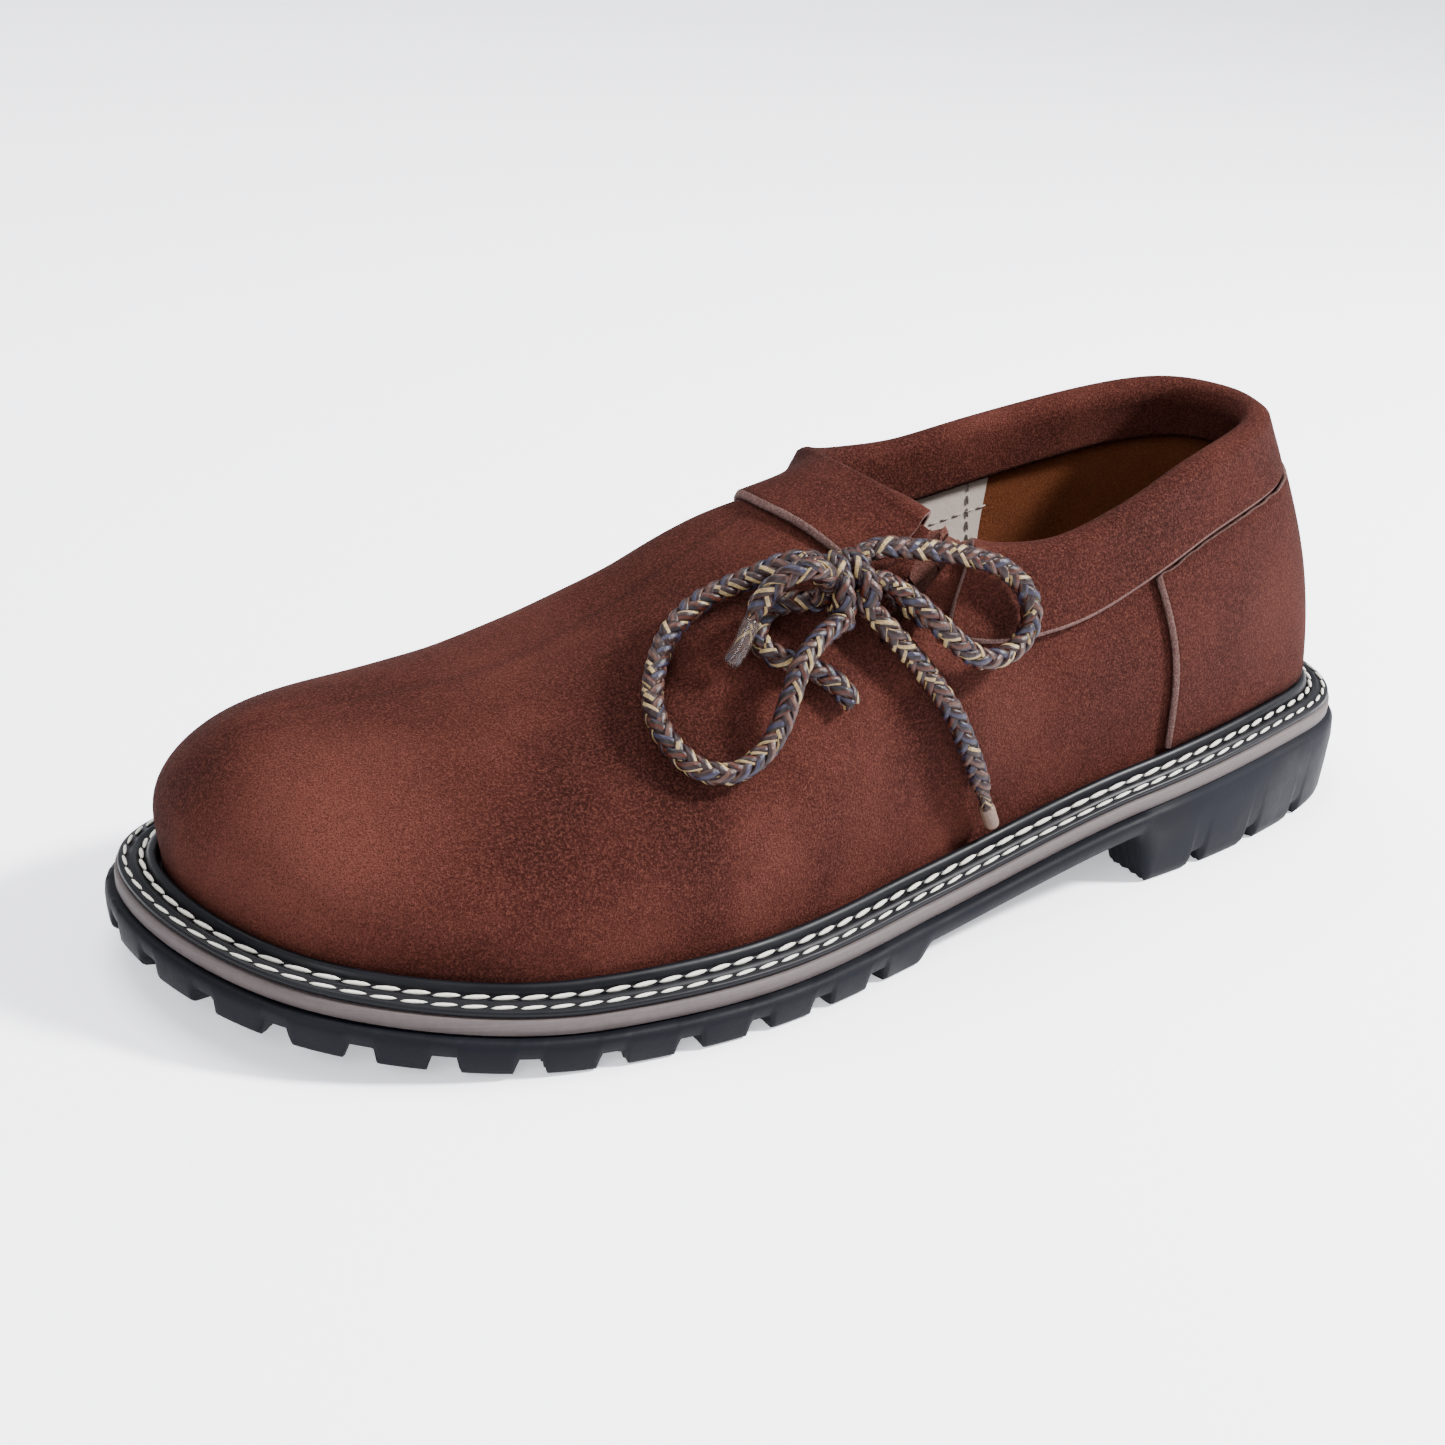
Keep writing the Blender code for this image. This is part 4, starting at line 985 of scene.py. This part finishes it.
def make_insole(finish):
    """Flat board with a rounded edge."""
    rings = []
    for inset, share in ((0.0, 0.0), (0.0, 0.7), (0.0008, 1.0)):
        flat = ring(FEATHER_INSET + UPPER_WALL + 3 * CLEARANCE + inset, 200)
        rings.append(np.column_stack([flat, welt_floor(flat[:, 0]) + CLEARANCE + INSOLE_THICKNESS * share]))
    faces = walls(3, 400, False) + lid(800, 400) + [face[::-1] for face in lid(0, 400)]
    return piece("leather_insole", np.vstack(rings), faces, finish, "insole")


tan = Wires("tan_leather")
place = tan.node("ShaderNodeTexCoord", out=3)
hide = tan.noise(place, 260.0, 4.0)
tan.finish(
    Base_Color=tan.mix(hide, (0.120, 0.050, 0.022), TAN),
    Roughness=0.7,
    Normal=tan.bump(hide, 0.3, 0.0004))
make_insole(tan.material)

# Lining
# Light grey leather in the front of the quarters, cut and sewn to a cognac suede counter lining at the heel.
LINING_JOIN = 0.0840
GREY_LEATHER = (0.300, 0.255, 0.225)
COGNAC = (0.075, 0.0220, 0.0080)
COGNAC_DARK = (0.036, 0.0100, 0.0045)


def make_lining(name, finish, front):
    """Thin skin laid inside the upper, before or behind the join, open at the slit."""
    per_side, rows = 200, 60
    grid = eased_crest(upper_ribs(per_side, rows))
    normals = crest_normals(grid)
    grid = folded(grid, normals)
    laid = grid - normals * (UPPER_WALL + (0.0006 if front else 0.0004))
    points = np.vstack([laid[:, row] for row in range(rows + 1)])
    slit = below_collar(SKIN, EDGE, (-0.002, 0.0, 0.002), np.linspace(0.0, SLIT_DEPTH, 8))[0][1]
    far, down = line_distance(points, slit.tolist())
    open_here = far < 0.0035 + SLIT_WIDTH / 2 * (1 - 0.5 * down)
    faces = []
    for face in walls(rows + 1, 2 * per_side, False):
        x = np.mean([points[k, 0] for k in face])
        z = np.mean([points[k, 2] for k in face])
        if any(open_here[k] for k in face):
            continue
        if z > welt_floor(x) + INSOLE_THICKNESS:
            faces.append(face[::-1])
    used = sorted({k for face in faces for k in face})
    index = {k: n for n, k in enumerate(used)}
    made = piece(name, points[used], [tuple(index[k] for k in face) for face in faces], finish, merge=0)
    bm = bmesh.new()
    bm.from_mesh(made.data)
    bmesh.ops.bisect_plane(bm, geom=bm.verts[:] + bm.edges[:] + bm.faces[:], plane_co=(LINING_JOIN - MIDDLE[0], 0, 0),
                           plane_no=(1, 0, 0), clear_inner=front, clear_outer=not front)
    bm.to_mesh(made.data)
    bm.free()
    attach(made, "root")
    return made


def lining_stitches(finish):
    """Two sewn lines on the grey lining of the inner side: one down beside the join, one along the collar."""
    line, travel = EDGE
    inner = np.where(line[:, 1] < 0, abs(line[:, 0] - LINING_JOIN - 0.0045), 9.0)
    start = travel[int(np.argmin(inner))]
    runs = (("join_stitches", [start], np.linspace(0.009, 0.036, 28)),
            ("edge_stitches", np.linspace(start - 0.004, start + 0.030, 34), [0.0185]))
    for name, stations, depths in runs:
        near = [s + d for s in stations for d in (-0.002, 0.0, 0.002)]
        points, normals = below_collar(SKIN, EDGE, near, [0.0, *depths])
        sewn = (points - normals * (UPPER_WALL + 0.0008))[1::3, 1:].reshape(-1, 3) - MIDDLE
        sizes = {"Pitch": 0.0032, "Length": 0.0026, "Thickness": 0.0006, "Slant": 0.0}
        lay_stitches(name, finish, sewn, False, sizes)


grey = Wires("grey_leather")
place = grey.node("ShaderNodeTexCoord", out=3)
pebble = grey.noise(place, 900.0, 3.0)
wear = grey.noise(place, 60.0, 3.0)
grey.finish(
    Base_Color=grey.mix(wear, (0.235, 0.195, 0.170), GREY_LEATHER),
    Roughness=0.55,
    Normal=grey.bump(pebble, 0.35, 0.0003))
make_lining("grey_lining", grey.material, True)
seam = Wires("grey_thread")
seam.finish(Base_Color=(0.140, 0.115, 0.100, 1.0), Roughness=0.7)
lining_stitches(stitch_tree(seam.material))
make_lining("cognac_lining", suede("cognac_suede", COGNAC_DARK, COGNAC, (0.130, 0.044, 0.017), 0.6), False)

# Tongue
# Gusset of the same suede behind the slit, pinked along its top edge.
BAND_THICKNESS = 0.0016
LAID_CLEARANCE = 0.0008
TONGUE_THICKNESS = 0.0012
TONGUE_DEPTH = 0.0300
TONGUE_WIDTH = 0.0300
TONGUE_RISE = 0.0030
PINK_PITCH = 0.0042
PINK_DEPTH = 0.0014


def sheet_faces(columns, rows):
    """Faces of a grid whose points are listed column by column."""
    return [(i * rows + k, i * rows + k + 1, (i + 1) * rows + k + 1, (i + 1) * rows + k)
            for i in range(columns - 1) for k in range(rows - 1)]


def at_depths(points, walk, depths):
    """Points read from even walks down the upper, at depths that differ from station to station."""
    return np.array([[[np.interp(depth, walk, row[:, axis]) for axis in range(3)] for depth in line]
                     for row, line in zip(points, depths)])


def walled(outer, inner):
    """Closed plate from two grids of the same size, listed column by column."""
    columns, rows = outer.shape[:2]
    count = columns * rows
    faces = sheet_faces(columns, rows)
    faces += [tuple(count + k for k in face[::-1]) for face in faces[:]]
    border = [c * rows for c in range(columns)]
    border += [(columns - 1) * rows + r for r in range(1, rows)]
    border += [c * rows + rows - 1 for c in range(columns - 2, -1, -1)]
    border += [r for r in range(rows - 2, 0, -1)]
    for k, a in enumerate(border):
        b = border[(k + 1) % len(border)]
        faces.append((a, b, count + b, count + a))
    return np.vstack([outer.reshape(-1, 3), inner.reshape(-1, 3)]), faces


def make_tongue(finish):
    """Curved leaf with a scalloped top."""
    half = TONGUE_WIDTH / 2
    stations = np.linspace(-half, half, 71)
    depths = np.linspace(0.0, TONGUE_DEPTH, 16)
    points, normals = below_collar(SKIN, EDGE, stations, depths)
    inside = UPPER_WALL + BAND_THICKNESS + LAID_CLEARANCE + 3 * CLEARANCE
    laid = points - normals * inside
    drop = laid[:, 1] - laid[:, 0]
    drop /= np.linalg.norm(drop, axis=1)[:, None]
    scallop = PINK_DEPTH * (1 - abs(np.sin(math.pi * stations / PINK_PITCH)))
    laid[:, 0] += drop * (scallop - TONGUE_RISE)[:, None]
    points, faces = walled(laid, laid - normals * TONGUE_THICKNESS)
    return piece("pinked_tongue", points, faces, finish, "tongue")


make_tongue(suede("raw_suede", (0.030, 0.009, 0.007), (0.068, 0.024, 0.018), (0.150, 0.075, 0.060)))

# Collar band
# Strip of suede folded over the collar and sewn down, from one side of the slit round to the other.
# Its lower edge is cut raw, so the pale flesh of the leather shows as a thin line.
BAND_TURN_IN = 0.0110
RAW_STRIP = 0.0009
BAND_WIDTHS = (
    # travel, width
    (0.00, 0.0190),
    (0.10, 0.0150),
    (0.20, 0.0135),
    (0.70, 0.0135),
    (0.86, 0.0190),
    (1.00, 0.0200),
)


def make_band(finish):
    """Folded strip: outer leg, round fold and turned-in leg."""
    start = SLIT_WIDTH / 2
    end = EDGE[1][-1] - SLIT_WIDTH / 2
    stations = np.linspace(start, end, 220)
    walk = np.linspace(0.0, BAND_WIDTHS[-1][1], 41)
    widths = table_value(BAND_WIDTHS, 1, stations / EDGE[1][-1])
    shares = np.linspace(0.0, 1.0, 11)
    depths = [[*((width - RAW_STRIP) * shares), width] for width in widths]
    points, normals = (at_depths(read, walk, depths) for read in below_collar(SKIN, EDGE, stations, walk))
    kernel = np.array([1, 2, 3, 2, 1]) / 9
    for values in (points, normals) * 6:
        padded = np.concatenate([values[:1], values[:1], values, values[-1:], values[-1:]])
        values[:] = sum(weight * padded[k:k + len(values)] for k, weight in enumerate(kernel))
    normals /= np.linalg.norm(normals, axis=2)[:, :, None]
    up = points[:, 0] - points[:, 1]
    up /= np.linalg.norm(up, axis=1)[:, None]
    radius = UPPER_WALL / 2 + 1.3 * LAID_CLEARANCE
    centre = points[:, 0] - normals[:, 0] * UPPER_WALL / 2
    inner_leg = [points[:, k] - normals[:, k] * (UPPER_WALL + LAID_CLEARANCE + CLEARANCE) for k in range(0, 9)]
    outer_leg = [points[:, k] + normals[:, k] * LAID_CLEARANCE for k in range(11, -1, -1)]
    fold = []
    fold_normals = []
    for turn in range(20, 180, 20):
        angle = math.radians(turn)
        way = normals[:, 0] * math.cos(angle) + up * math.sin(angle)
        fold.append(centre + way * radius)
        fold_normals.append(way)
    columns = outer_leg + fold + inner_leg
    ways = [normals[:, k] for k in range(11, -1, -1)] + fold_normals + [-normals[:, k] for k in range(0, 9)]
    under = np.stack(columns, 1)
    over = under + np.stack(ways, 1) * BAND_THICKNESS
    over[:, 0] = under[:, 0] + ways[0] * BAND_THICKNESS * 0.55
    points, faces = walled(over, under)
    band = piece("folded_band", points, faces, finish, "collar_band", merge=0)
    band.data.materials.append(RAW_FINISH)
    rows = len(columns)
    plates = 2 * (len(stations) - 1) * (rows - 1)
    for face in band.data.polygons:
        if face.index >= plates or (face.index < plates // 2 and face.index % (rows - 1) == 0):
            face.material_index = 1
    return band


RAW_FINISH = suede("raw_edge", (0.045, 0.022, 0.018), (0.105, 0.056, 0.050), (0.230, 0.150, 0.135))
make_band(SUEDE_FINISH)

# Back panel
# Counter of suede laid round the heel below the band, with a raw front edge on each side.
PANEL_THICKNESS = 0.0012
PANEL_TOP = 0.0135
PANEL_FRONT_FOOT = 0.254


def make_back_panel(finish):
    """Panel that follows the heel between band and welt."""
    grid = upper_ribs(150, 60)
    count = len(grid)
    share = grid[:, 0, 0] / SHOE_LENGTH
    ribs = [k for k in range(count // 2, count) if share[k] < PANEL_FRONT_FOOT]
    ribs += [k for k in range(count // 2) if share[k] < PANEL_FRONT_FOOT]
    steps = np.linspace(0, 1, 18)
    rows = np.arange(grid.shape[1])
    points = []
    for k in ribs:
        rib = grid[k]
        far = np.linalg.norm(rib[:, None] - EDGE[0][None], axis=2).min(1)
        low = np.interp(welt_floor(rib[0, 0]) + WELT_BEAD_HEIGHT + 2 * CLEARANCE, rib[:, 2], rows)
        high = np.interp(-PANEL_TOP - 3 * CLEARANCE, -far, rows)
        at = low + (high - low) * steps
        points.append(np.stack([np.interp(at, rows, rib[:, axis]) for axis in range(3)], -1))
    first = points[0] + (points[1] - points[0]) * RAW_STRIP / 0.0022
    last = points[-1] + (points[-2] - points[-1]) * RAW_STRIP / 0.0022
    points = np.array([points[0], first, *points[1:-1], last, points[-1]])
    normals = grid_normals(points)
    laid = points + normals * LAID_CLEARANCE
    thick = np.full(len(points), PANEL_THICKNESS)
    thick[0] = thick[-1] = 0.6 * PANEL_THICKNESS
    points, faces = walled(laid + normals * thick[:, None, None], laid)
    panel = piece("heel_counter", points, faces, finish, "back_panel", merge=0)
    panel.data.materials.append(RAW_FINISH)
    rows = len(steps) - 1
    strips = len(laid) - 1
    for face in panel.data.polygons:
        if face.index < rows or rows * (strips - 1) <= face.index < rows * strips or face.index >= 2 * rows * strips:
            face.material_index = 1
    return panel


make_back_panel(SUEDE_FINISH)

# Lace
# Round cord braided from eight strands of mixed yarn: dark brown, rust, cream and blue-grey.
# It runs in the fold of the band, crosses the slit and is tied in a bow on the outer side.
LACE = 0.0048
BRAID_PITCH = 0.0130
STRAND_WIDTH = 0.00195
STRAND_THICKNESS = 0.00115
YARNS = (
    (0.0090, 0.0024, 0.0026),
    (0.2300, 0.1600, 0.0720),
    (0.0085, 0.0014, 0.0014),
    (0.0380, 0.0070, 0.0024),
    (0.0035, 0.0009, 0.0011),
    (0.0160, 0.0160, 0.0340),
    (0.0100, 0.0018, 0.0015),
    (0.0560, 0.0240, 0.0160),
    (0.0130, 0.0042, 0.0042),
)
BAR_DEPTH = 0.0175
KNOT_CENTRE = (0.1665, 0.0305, 0.0765)
KNOT_UP = (0.09, 0.69, 0.72)
KNOT_WIDTH = 0.0150
KNOT_THICKNESS = 0.0104
KNOT_WAYS = {
    # cord: first way, last way if it comes back to the knot
    "lace_loop_front": ((0.65, -0.75, 0.00), (0.40, 0.92, 0.00)),
    "lace_loop_rear": ((-0.70, -0.66, 0.10), (-0.95, 0.13, 0.10)),
    "lace_end_front": ((0.82, -0.04, 0.42),),
    "lace_end_rear": ((-0.46, 0.88, -0.08),),
    "lace_tail": ((0.88, 0.19, -0.31),),
}
LACE_ROUTES = {
    "lace_loop_front": (
        (0.1755, 0.0228, 0.0793), (0.1805, 0.0203, 0.0766), (0.1860, 0.0182, 0.0738),
        (0.1920, 0.0172, 0.0710), (0.1985, 0.0187, 0.0672), (0.2040, 0.0228, 0.0632),
        (0.2085, 0.0285, 0.0592), (0.2105, 0.0345, 0.0555), (0.2093, 0.0405, 0.0517),
        (0.2055, 0.0446, 0.0492), (0.2000, 0.0464, 0.0492), (0.1943, 0.0462, 0.0518),
        (0.1900, 0.0450, 0.0560), (0.1872, 0.0436, 0.0612), (0.1838, 0.0415, 0.0662),
        (0.1785, 0.0392, 0.0698),
    ),
    "lace_loop_rear": (
        (0.1565, 0.0290, 0.0822), (0.1505, 0.0302, 0.0814), (0.1440, 0.0318, 0.0805),
        (0.1380, 0.0340, 0.0792), (0.1325, 0.0359, 0.0773), (0.1282, 0.0373, 0.0741),
        (0.1257, 0.0386, 0.0700), (0.1259, 0.0399, 0.0657), (0.1290, 0.0411, 0.0622),
        (0.1338, 0.0419, 0.0605), (0.1394, 0.0421, 0.0608), (0.1450, 0.0417, 0.0643),
        (0.1503, 0.0402, 0.0692), (0.1545, 0.0368, 0.0735),
    ),
    "lace_end_front": (
        (0.1748, 0.0340, 0.0812), (0.1785, 0.0345, 0.0825), (0.1822, 0.0334, 0.0815),
        (0.1855, 0.0321, 0.0787), (0.1878, 0.0314, 0.0750), (0.1896, 0.0315, 0.0712),
        (0.1914, 0.0320, 0.0676), (0.1932, 0.0317, 0.0645),
    ),
    "lace_end_rear": (
        (0.1603, 0.0372, 0.0686), (0.1560, 0.0386, 0.0638), (0.1518, 0.0400, 0.0590),
        (0.1485, 0.0415, 0.0545), (0.1450, 0.0426, 0.0495), (0.1420, 0.0431, 0.0440),
        (0.1390, 0.0431, 0.0385), (0.1355, 0.0426, 0.0320), (0.1325, 0.0417, 0.0265),
        (0.1298, 0.0409, 0.0218),
    ),
    "lace_tail": (
        (0.1775, 0.0276, 0.0730), (0.1815, 0.0270, 0.0723), (0.1850, 0.0282, 0.0696),
        (0.1863, 0.0312, 0.0670), (0.1842, 0.0347, 0.0652), (0.1802, 0.0372, 0.0641),
        (0.1765, 0.0394, 0.0622), (0.1737, 0.0417, 0.0598), (0.1722, 0.0437, 0.0571),
    ),
}
LACE_ENDS = {
    # cord: what its far end is, length of its bound tip, its thickness as a share of the cord
    "lace_loop_front": ("knot", 0.0, 1.0),
    "lace_loop_rear": ("knot", 0.0, 1.0),
    "lace_end_front": ("fitting", 0.0100, 0.66),
    "lace_end_rear": ("fitting", 0.0110, 0.62),
    "lace_tail": ("bare", 0.0015, 0.9),
}


def knot_axes():
    """Unit directions of the knot: along the shoe, down its outer side and off its surface."""
    up = np.array(KNOT_UP) / np.linalg.norm(KNOT_UP)
    along = np.array([1.0, 0.0, 0.0]) - up * up[0]
    along /= np.linalg.norm(along)
    return np.stack([along, np.cross(up, along), up])


def knot_place(way):
    """Point of the knot's face in one way from its centre, and the outward direction there."""
    half = np.array([KNOT_WIDTH, KNOT_WIDTH, KNOT_THICKNESS]) / 2
    local = np.array(way) / np.linalg.norm(np.array(way) / half)
    out = local / half**2
    return np.array(KNOT_CENTRE) + local @ knot_axes(), out / np.linalg.norm(out) @ knot_axes()


def smooth_line(points, step):
    """Smooth curve through points, read at even steps."""
    p = np.array(points)
    p = np.vstack([2 * p[0] - p[1], p, 2 * p[-1] - p[-2]])
    dense = []
    for i in range(1, len(p) - 2):
        for t in np.linspace(0, 1, 16, endpoint=False):
            dense.append(p[i] + ((p[i + 1] - p[i - 1]) * t + (2 * p[i - 1] - 5 * p[i] + 4 * p[i + 1] - p[i + 2]) * t**2
                                 + (3 * p[i] - p[i - 1] - 3 * p[i + 1] + p[i + 2]) * t**3) / 2)
    dense.append(p[-2])
    dense = np.array(dense)
    travel = np.concatenate([[0.0], np.cumsum(np.linalg.norm(np.diff(dense, axis=0), axis=1))])
    at = np.linspace(0, travel[-1], max(2, round(travel[-1] / step)) + 1)
    return np.stack([np.interp(at, travel, dense[:, axis]) for axis in range(3)], -1)


def carried_frame(line):
    """Tangent and two side directions at each point of a line, carried along it without twist."""
    tangent = np.gradient(line, axis=0)
    tangent /= np.linalg.norm(tangent, axis=1)[:, None]
    first = np.cross(tangent[0], (0.3, 0.2, 1.0))
    sides = [first / np.linalg.norm(first)]
    for t in tangent[1:]:
        side = sides[-1] - t * (sides[-1] @ t)
        sides.append(side / np.linalg.norm(side))
    sides = np.array(sides)
    return tangent, sides, np.cross(tangent, sides)


def braid(name, line, finish, tip=0.0, tip_share=1.0):
    """Eight flat strands that pass two over and two under round a line."""
    travel = np.concatenate([[0.0], np.cumsum(np.linalg.norm(np.diff(line, axis=0), axis=1))])
    tangent, side, other = carried_frame(line)
    scale = np.ones(len(line))
    if tip:
        scale = 1 - (1 - tip_share) * step(travel, travel[-1] - tip - 0.002, travel[-1] - tip + 0.001)
    middle = LACE / 2 - STRAND_THICKNESS / 2 - 0.00035
    sides = 14
    points = []
    faces = []
    tints = []
    rng = np.random.default_rng(len(name))
    for strand in range(8):
        way = 1 if strand < 4 else -1
        index = strand % 4
        crossing = 8 * travel / BRAID_PITCH
        angle = way * 2 * math.pi * travel / BRAID_PITCH + index * math.pi / 2
        if way > 0:
            lift = np.cos(2 * math.pi * (crossing + 2 * index - 0.5) / 4)
        else:
            lift = -np.cos(2 * math.pi * (2 * index - crossing - 0.5) / 4)
        radius = (middle + 0.00035 * lift) * scale
        out = np.cos(angle)[:, None] * side + np.sin(angle)[:, None] * other
        centre = line + out * radius[:, None]
        run = np.gradient(centre, axis=0)
        run /= np.linalg.norm(run, axis=1)[:, None]
        flat = np.cross(run, out)
        flat /= np.linalg.norm(flat, axis=1)[:, None]
        first = len(points) * 0 + sum(len(block) for block in points)
        turns = np.linspace(0, 2 * math.pi, sides, endpoint=False)
        block = (centre[:, None] + flat[:, None] * np.cos(turns)[None, :, None] * (STRAND_WIDTH / 2 * scale)[:, None, None]
                 + out[:, None] * np.sin(turns)[None, :, None] * (STRAND_THICKNESS / 2 * scale)[:, None, None])
        points.append(block.reshape(-1, 3))
        shift = rng.integers(0, len(YARNS))
        for i in range(len(line) - 1):
            for k in range(sides):
                n = (k + 1) % sides
                a = first + i * sides
                faces.append((a + k, a + n, a + sides + n, a + sides + k))
                tints.append((k // 2 + shift + int(travel[i] / 0.006)) % len(YARNS))
        for start, order in ((first, -1), (first + (len(line) - 1) * sides, 1)):
            faces.append(tuple(start + k for k in range(sides))[::order])
            tints.append(0)
    mesh = bpy.data.meshes.new(name)
    mesh.from_pydata((np.vstack(points) - MIDDLE).tolist(), [], faces)
    colours = mesh.color_attributes.new("yarn", "FLOAT_COLOR", "CORNER")
    values = np.ones((len(mesh.loops), 4), np.float32)
    sizes = [len(face) for face in faces]
    values[:, :3] = np.repeat(np.array(YARNS, np.float32)[tints], sizes, axis=0)
    colours.data.foreach_set("color", values.ravel())
    mesh.shade_smooth()
    mesh.materials.append(finish)
    made = bpy.data.objects.new(name, mesh)
    bpy.context.scene.collection.objects.link(made)
    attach(made, "root")
    return made


yarn = Wires("braided_yarn")
place = yarn.node("ShaderNodeTexCoord", out=3)
strand_colour = yarn.node("ShaderNodeVertexColor", layer_name="yarn")
fuzz = yarn.noise(place, 1800.0, 3.0)
yarn.finish(
    Base_Color=yarn.mix(yarn.range(fuzz, 0.3, 0.7, 0.0, 0.5), strand_colour, (0.012, 0.0045, 0.0045)),
    Roughness=0.42,
    Normal=yarn.bump(fuzz, 0.5, 0.0003),
    Specular_IOR_Level=0.22)

made_cords = {}
for name, route in LACE_ROUTES.items():
    ends = []
    for way, near in zip(KNOT_WAYS[name], (route[0], route[-1])):
        spot, out = knot_place(way)
        leaves = (np.array(near) - spot) / np.linalg.norm(np.array(near) - spot)
        lean = np.linalg.norm(np.cross(leaves, out))
        ends.append(spot + leaves * (CLEARANCE + LACE / 2 * lean))
    line = smooth_line([ends[0], *route, *ends[1:]], 0.0005)
    far_end, tip, tip_share = LACE_ENDS[name]
    cord = braid(name.replace("lace", "cord"), line, yarn.material, tip, tip_share)
    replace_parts(cord, name)
    made_cords[name] = (cord, line)


def make_knot(finish):
    """Two wraps round the crossing of the bow, with short stubs that reach the cords."""
    axes = knot_axes()
    centre = np.array(KNOT_CENTRE)
    parts = []
    for shift, lean, size in ((0.0024, 0.18, 1.0), (-0.0026, -0.12, 0.97)):
        turns = np.linspace(0, 2 * math.pi, 90)
        local = np.stack([shift + lean * 0.005 * np.cos(turns), 0.0050 * size * np.cos(turns),
                          0.0029 * size * np.sin(turns)], -1)
        parts.append(centre + local @ axes)
    for name, (cord, line) in made_cords.items():
        for end, way in ((line[0], line[0] - line[6]), (line[-1], line[-1] - line[-7])):
            if np.linalg.norm(end - centre) < 0.012:
                way = way / np.linalg.norm(way)
                inside = centre + (end - centre) * 0.35
                parts.append(smooth_line([end, end + way * 0.0015, inside], 0.0005))
    pieces = [braid("knot_part", line, finish) for line in parts]
    knot = pieces[0]
    knot.name = "cord_knot"
    bm = bmesh.new()
    for part in pieces:
        bm.from_mesh(part.data)
    bm.to_mesh(knot.data)
    bm.free()
    for part in pieces[1:]:
        bpy.data.objects.remove(part, do_unlink=True)
    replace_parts(knot, "lace_knot")
    return knot


knot = make_knot(yarn.material)
half = SLIT_WIDTH / 2
points, normals = below_collar(SKIN, EDGE, (-half, 0.0, half), (0.0, BAR_DEPTH))
line = points[:, 1] + normals[:, 1] * (LACE / 2 + LAID_CLEARANCE)
for end in (0, 2):
    back = line[1] - line[end]
    line[end] += back / np.linalg.norm(back) * 3 * CLEARANCE
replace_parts(braid("cord_bar", smooth_line(line, 0.0005), yarn.material), "lace_bar")


def make_tip(name, line, length, radius, finish):
    """Closed sleeve with rounded ends round the last stretch of a cord."""
    travel = np.concatenate([[0.0], np.cumsum(np.linalg.norm(np.diff(line, axis=0), axis=1))])
    held = line[travel > travel[-1] - length]
    held = np.vstack([held, held[-1] + (held[-1] - held[-2])])
    tangent, side, other = carried_frame(held)
    turns = np.linspace(0, 2 * math.pi, 24, endpoint=False)
    round_off = np.ones(len(held))
    round_off[0] = round_off[-1] = 0.72
    round_off[1] = round_off[-2] = 0.94
    way = np.cos(turns)[None, :, None] * side[:, None] + np.sin(turns)[None, :, None] * other[:, None]
    points = (held[:, None] + way * (radius * round_off)[:, None, None]).reshape(-1, 3)
    count = len(held)
    faces = walls(count, 24, False)
    faces.append(tuple(range(24))[::-1])
    faces.append(tuple((count - 1) * 24 + k for k in range(24)))
    made = piece(name, points, faces, finish, merge=0)
    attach(made, "root")
    return made


clear = Wires("clear_plastic")
clear.finish(Base_Color=(0.09, 0.065, 0.058, 1.0), Roughness=0.12, Alpha=0.28, Specular_IOR_Level=0.6)
bound = Wires("bound_thread")
place = bound.node("ShaderNodeTexCoord", out=3)
rough = bound.noise(place, 1400.0, 2.0)
bound.finish(
    Base_Color=bound.mix(rough, (0.030, 0.016, 0.013), (0.140, 0.080, 0.050)),
    Roughness=0.6,
    Normal=bound.bump(rough, 0.6, 0.0003))
tips = {
    "lace_loop_front": [knot],
    "lace_end_front": [make_tip("clear_tip", made_cords["lace_end_front"][1], 0.0098, 0.00178, clear.material)],
    "lace_end_rear": [make_tip("bound_tip", made_cords["lace_end_rear"][1], 0.0060, 0.00162, bound.material)],
}
for name, (cord, line) in made_cords.items():
    length = float(np.linalg.norm(np.diff(line, axis=0), axis=1).sum())
    tuple(line[0] - MIDDLE)
    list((line - MIDDLE)[:-1:4].tolist())
    (line[-1] - MIDDLE).tolist()
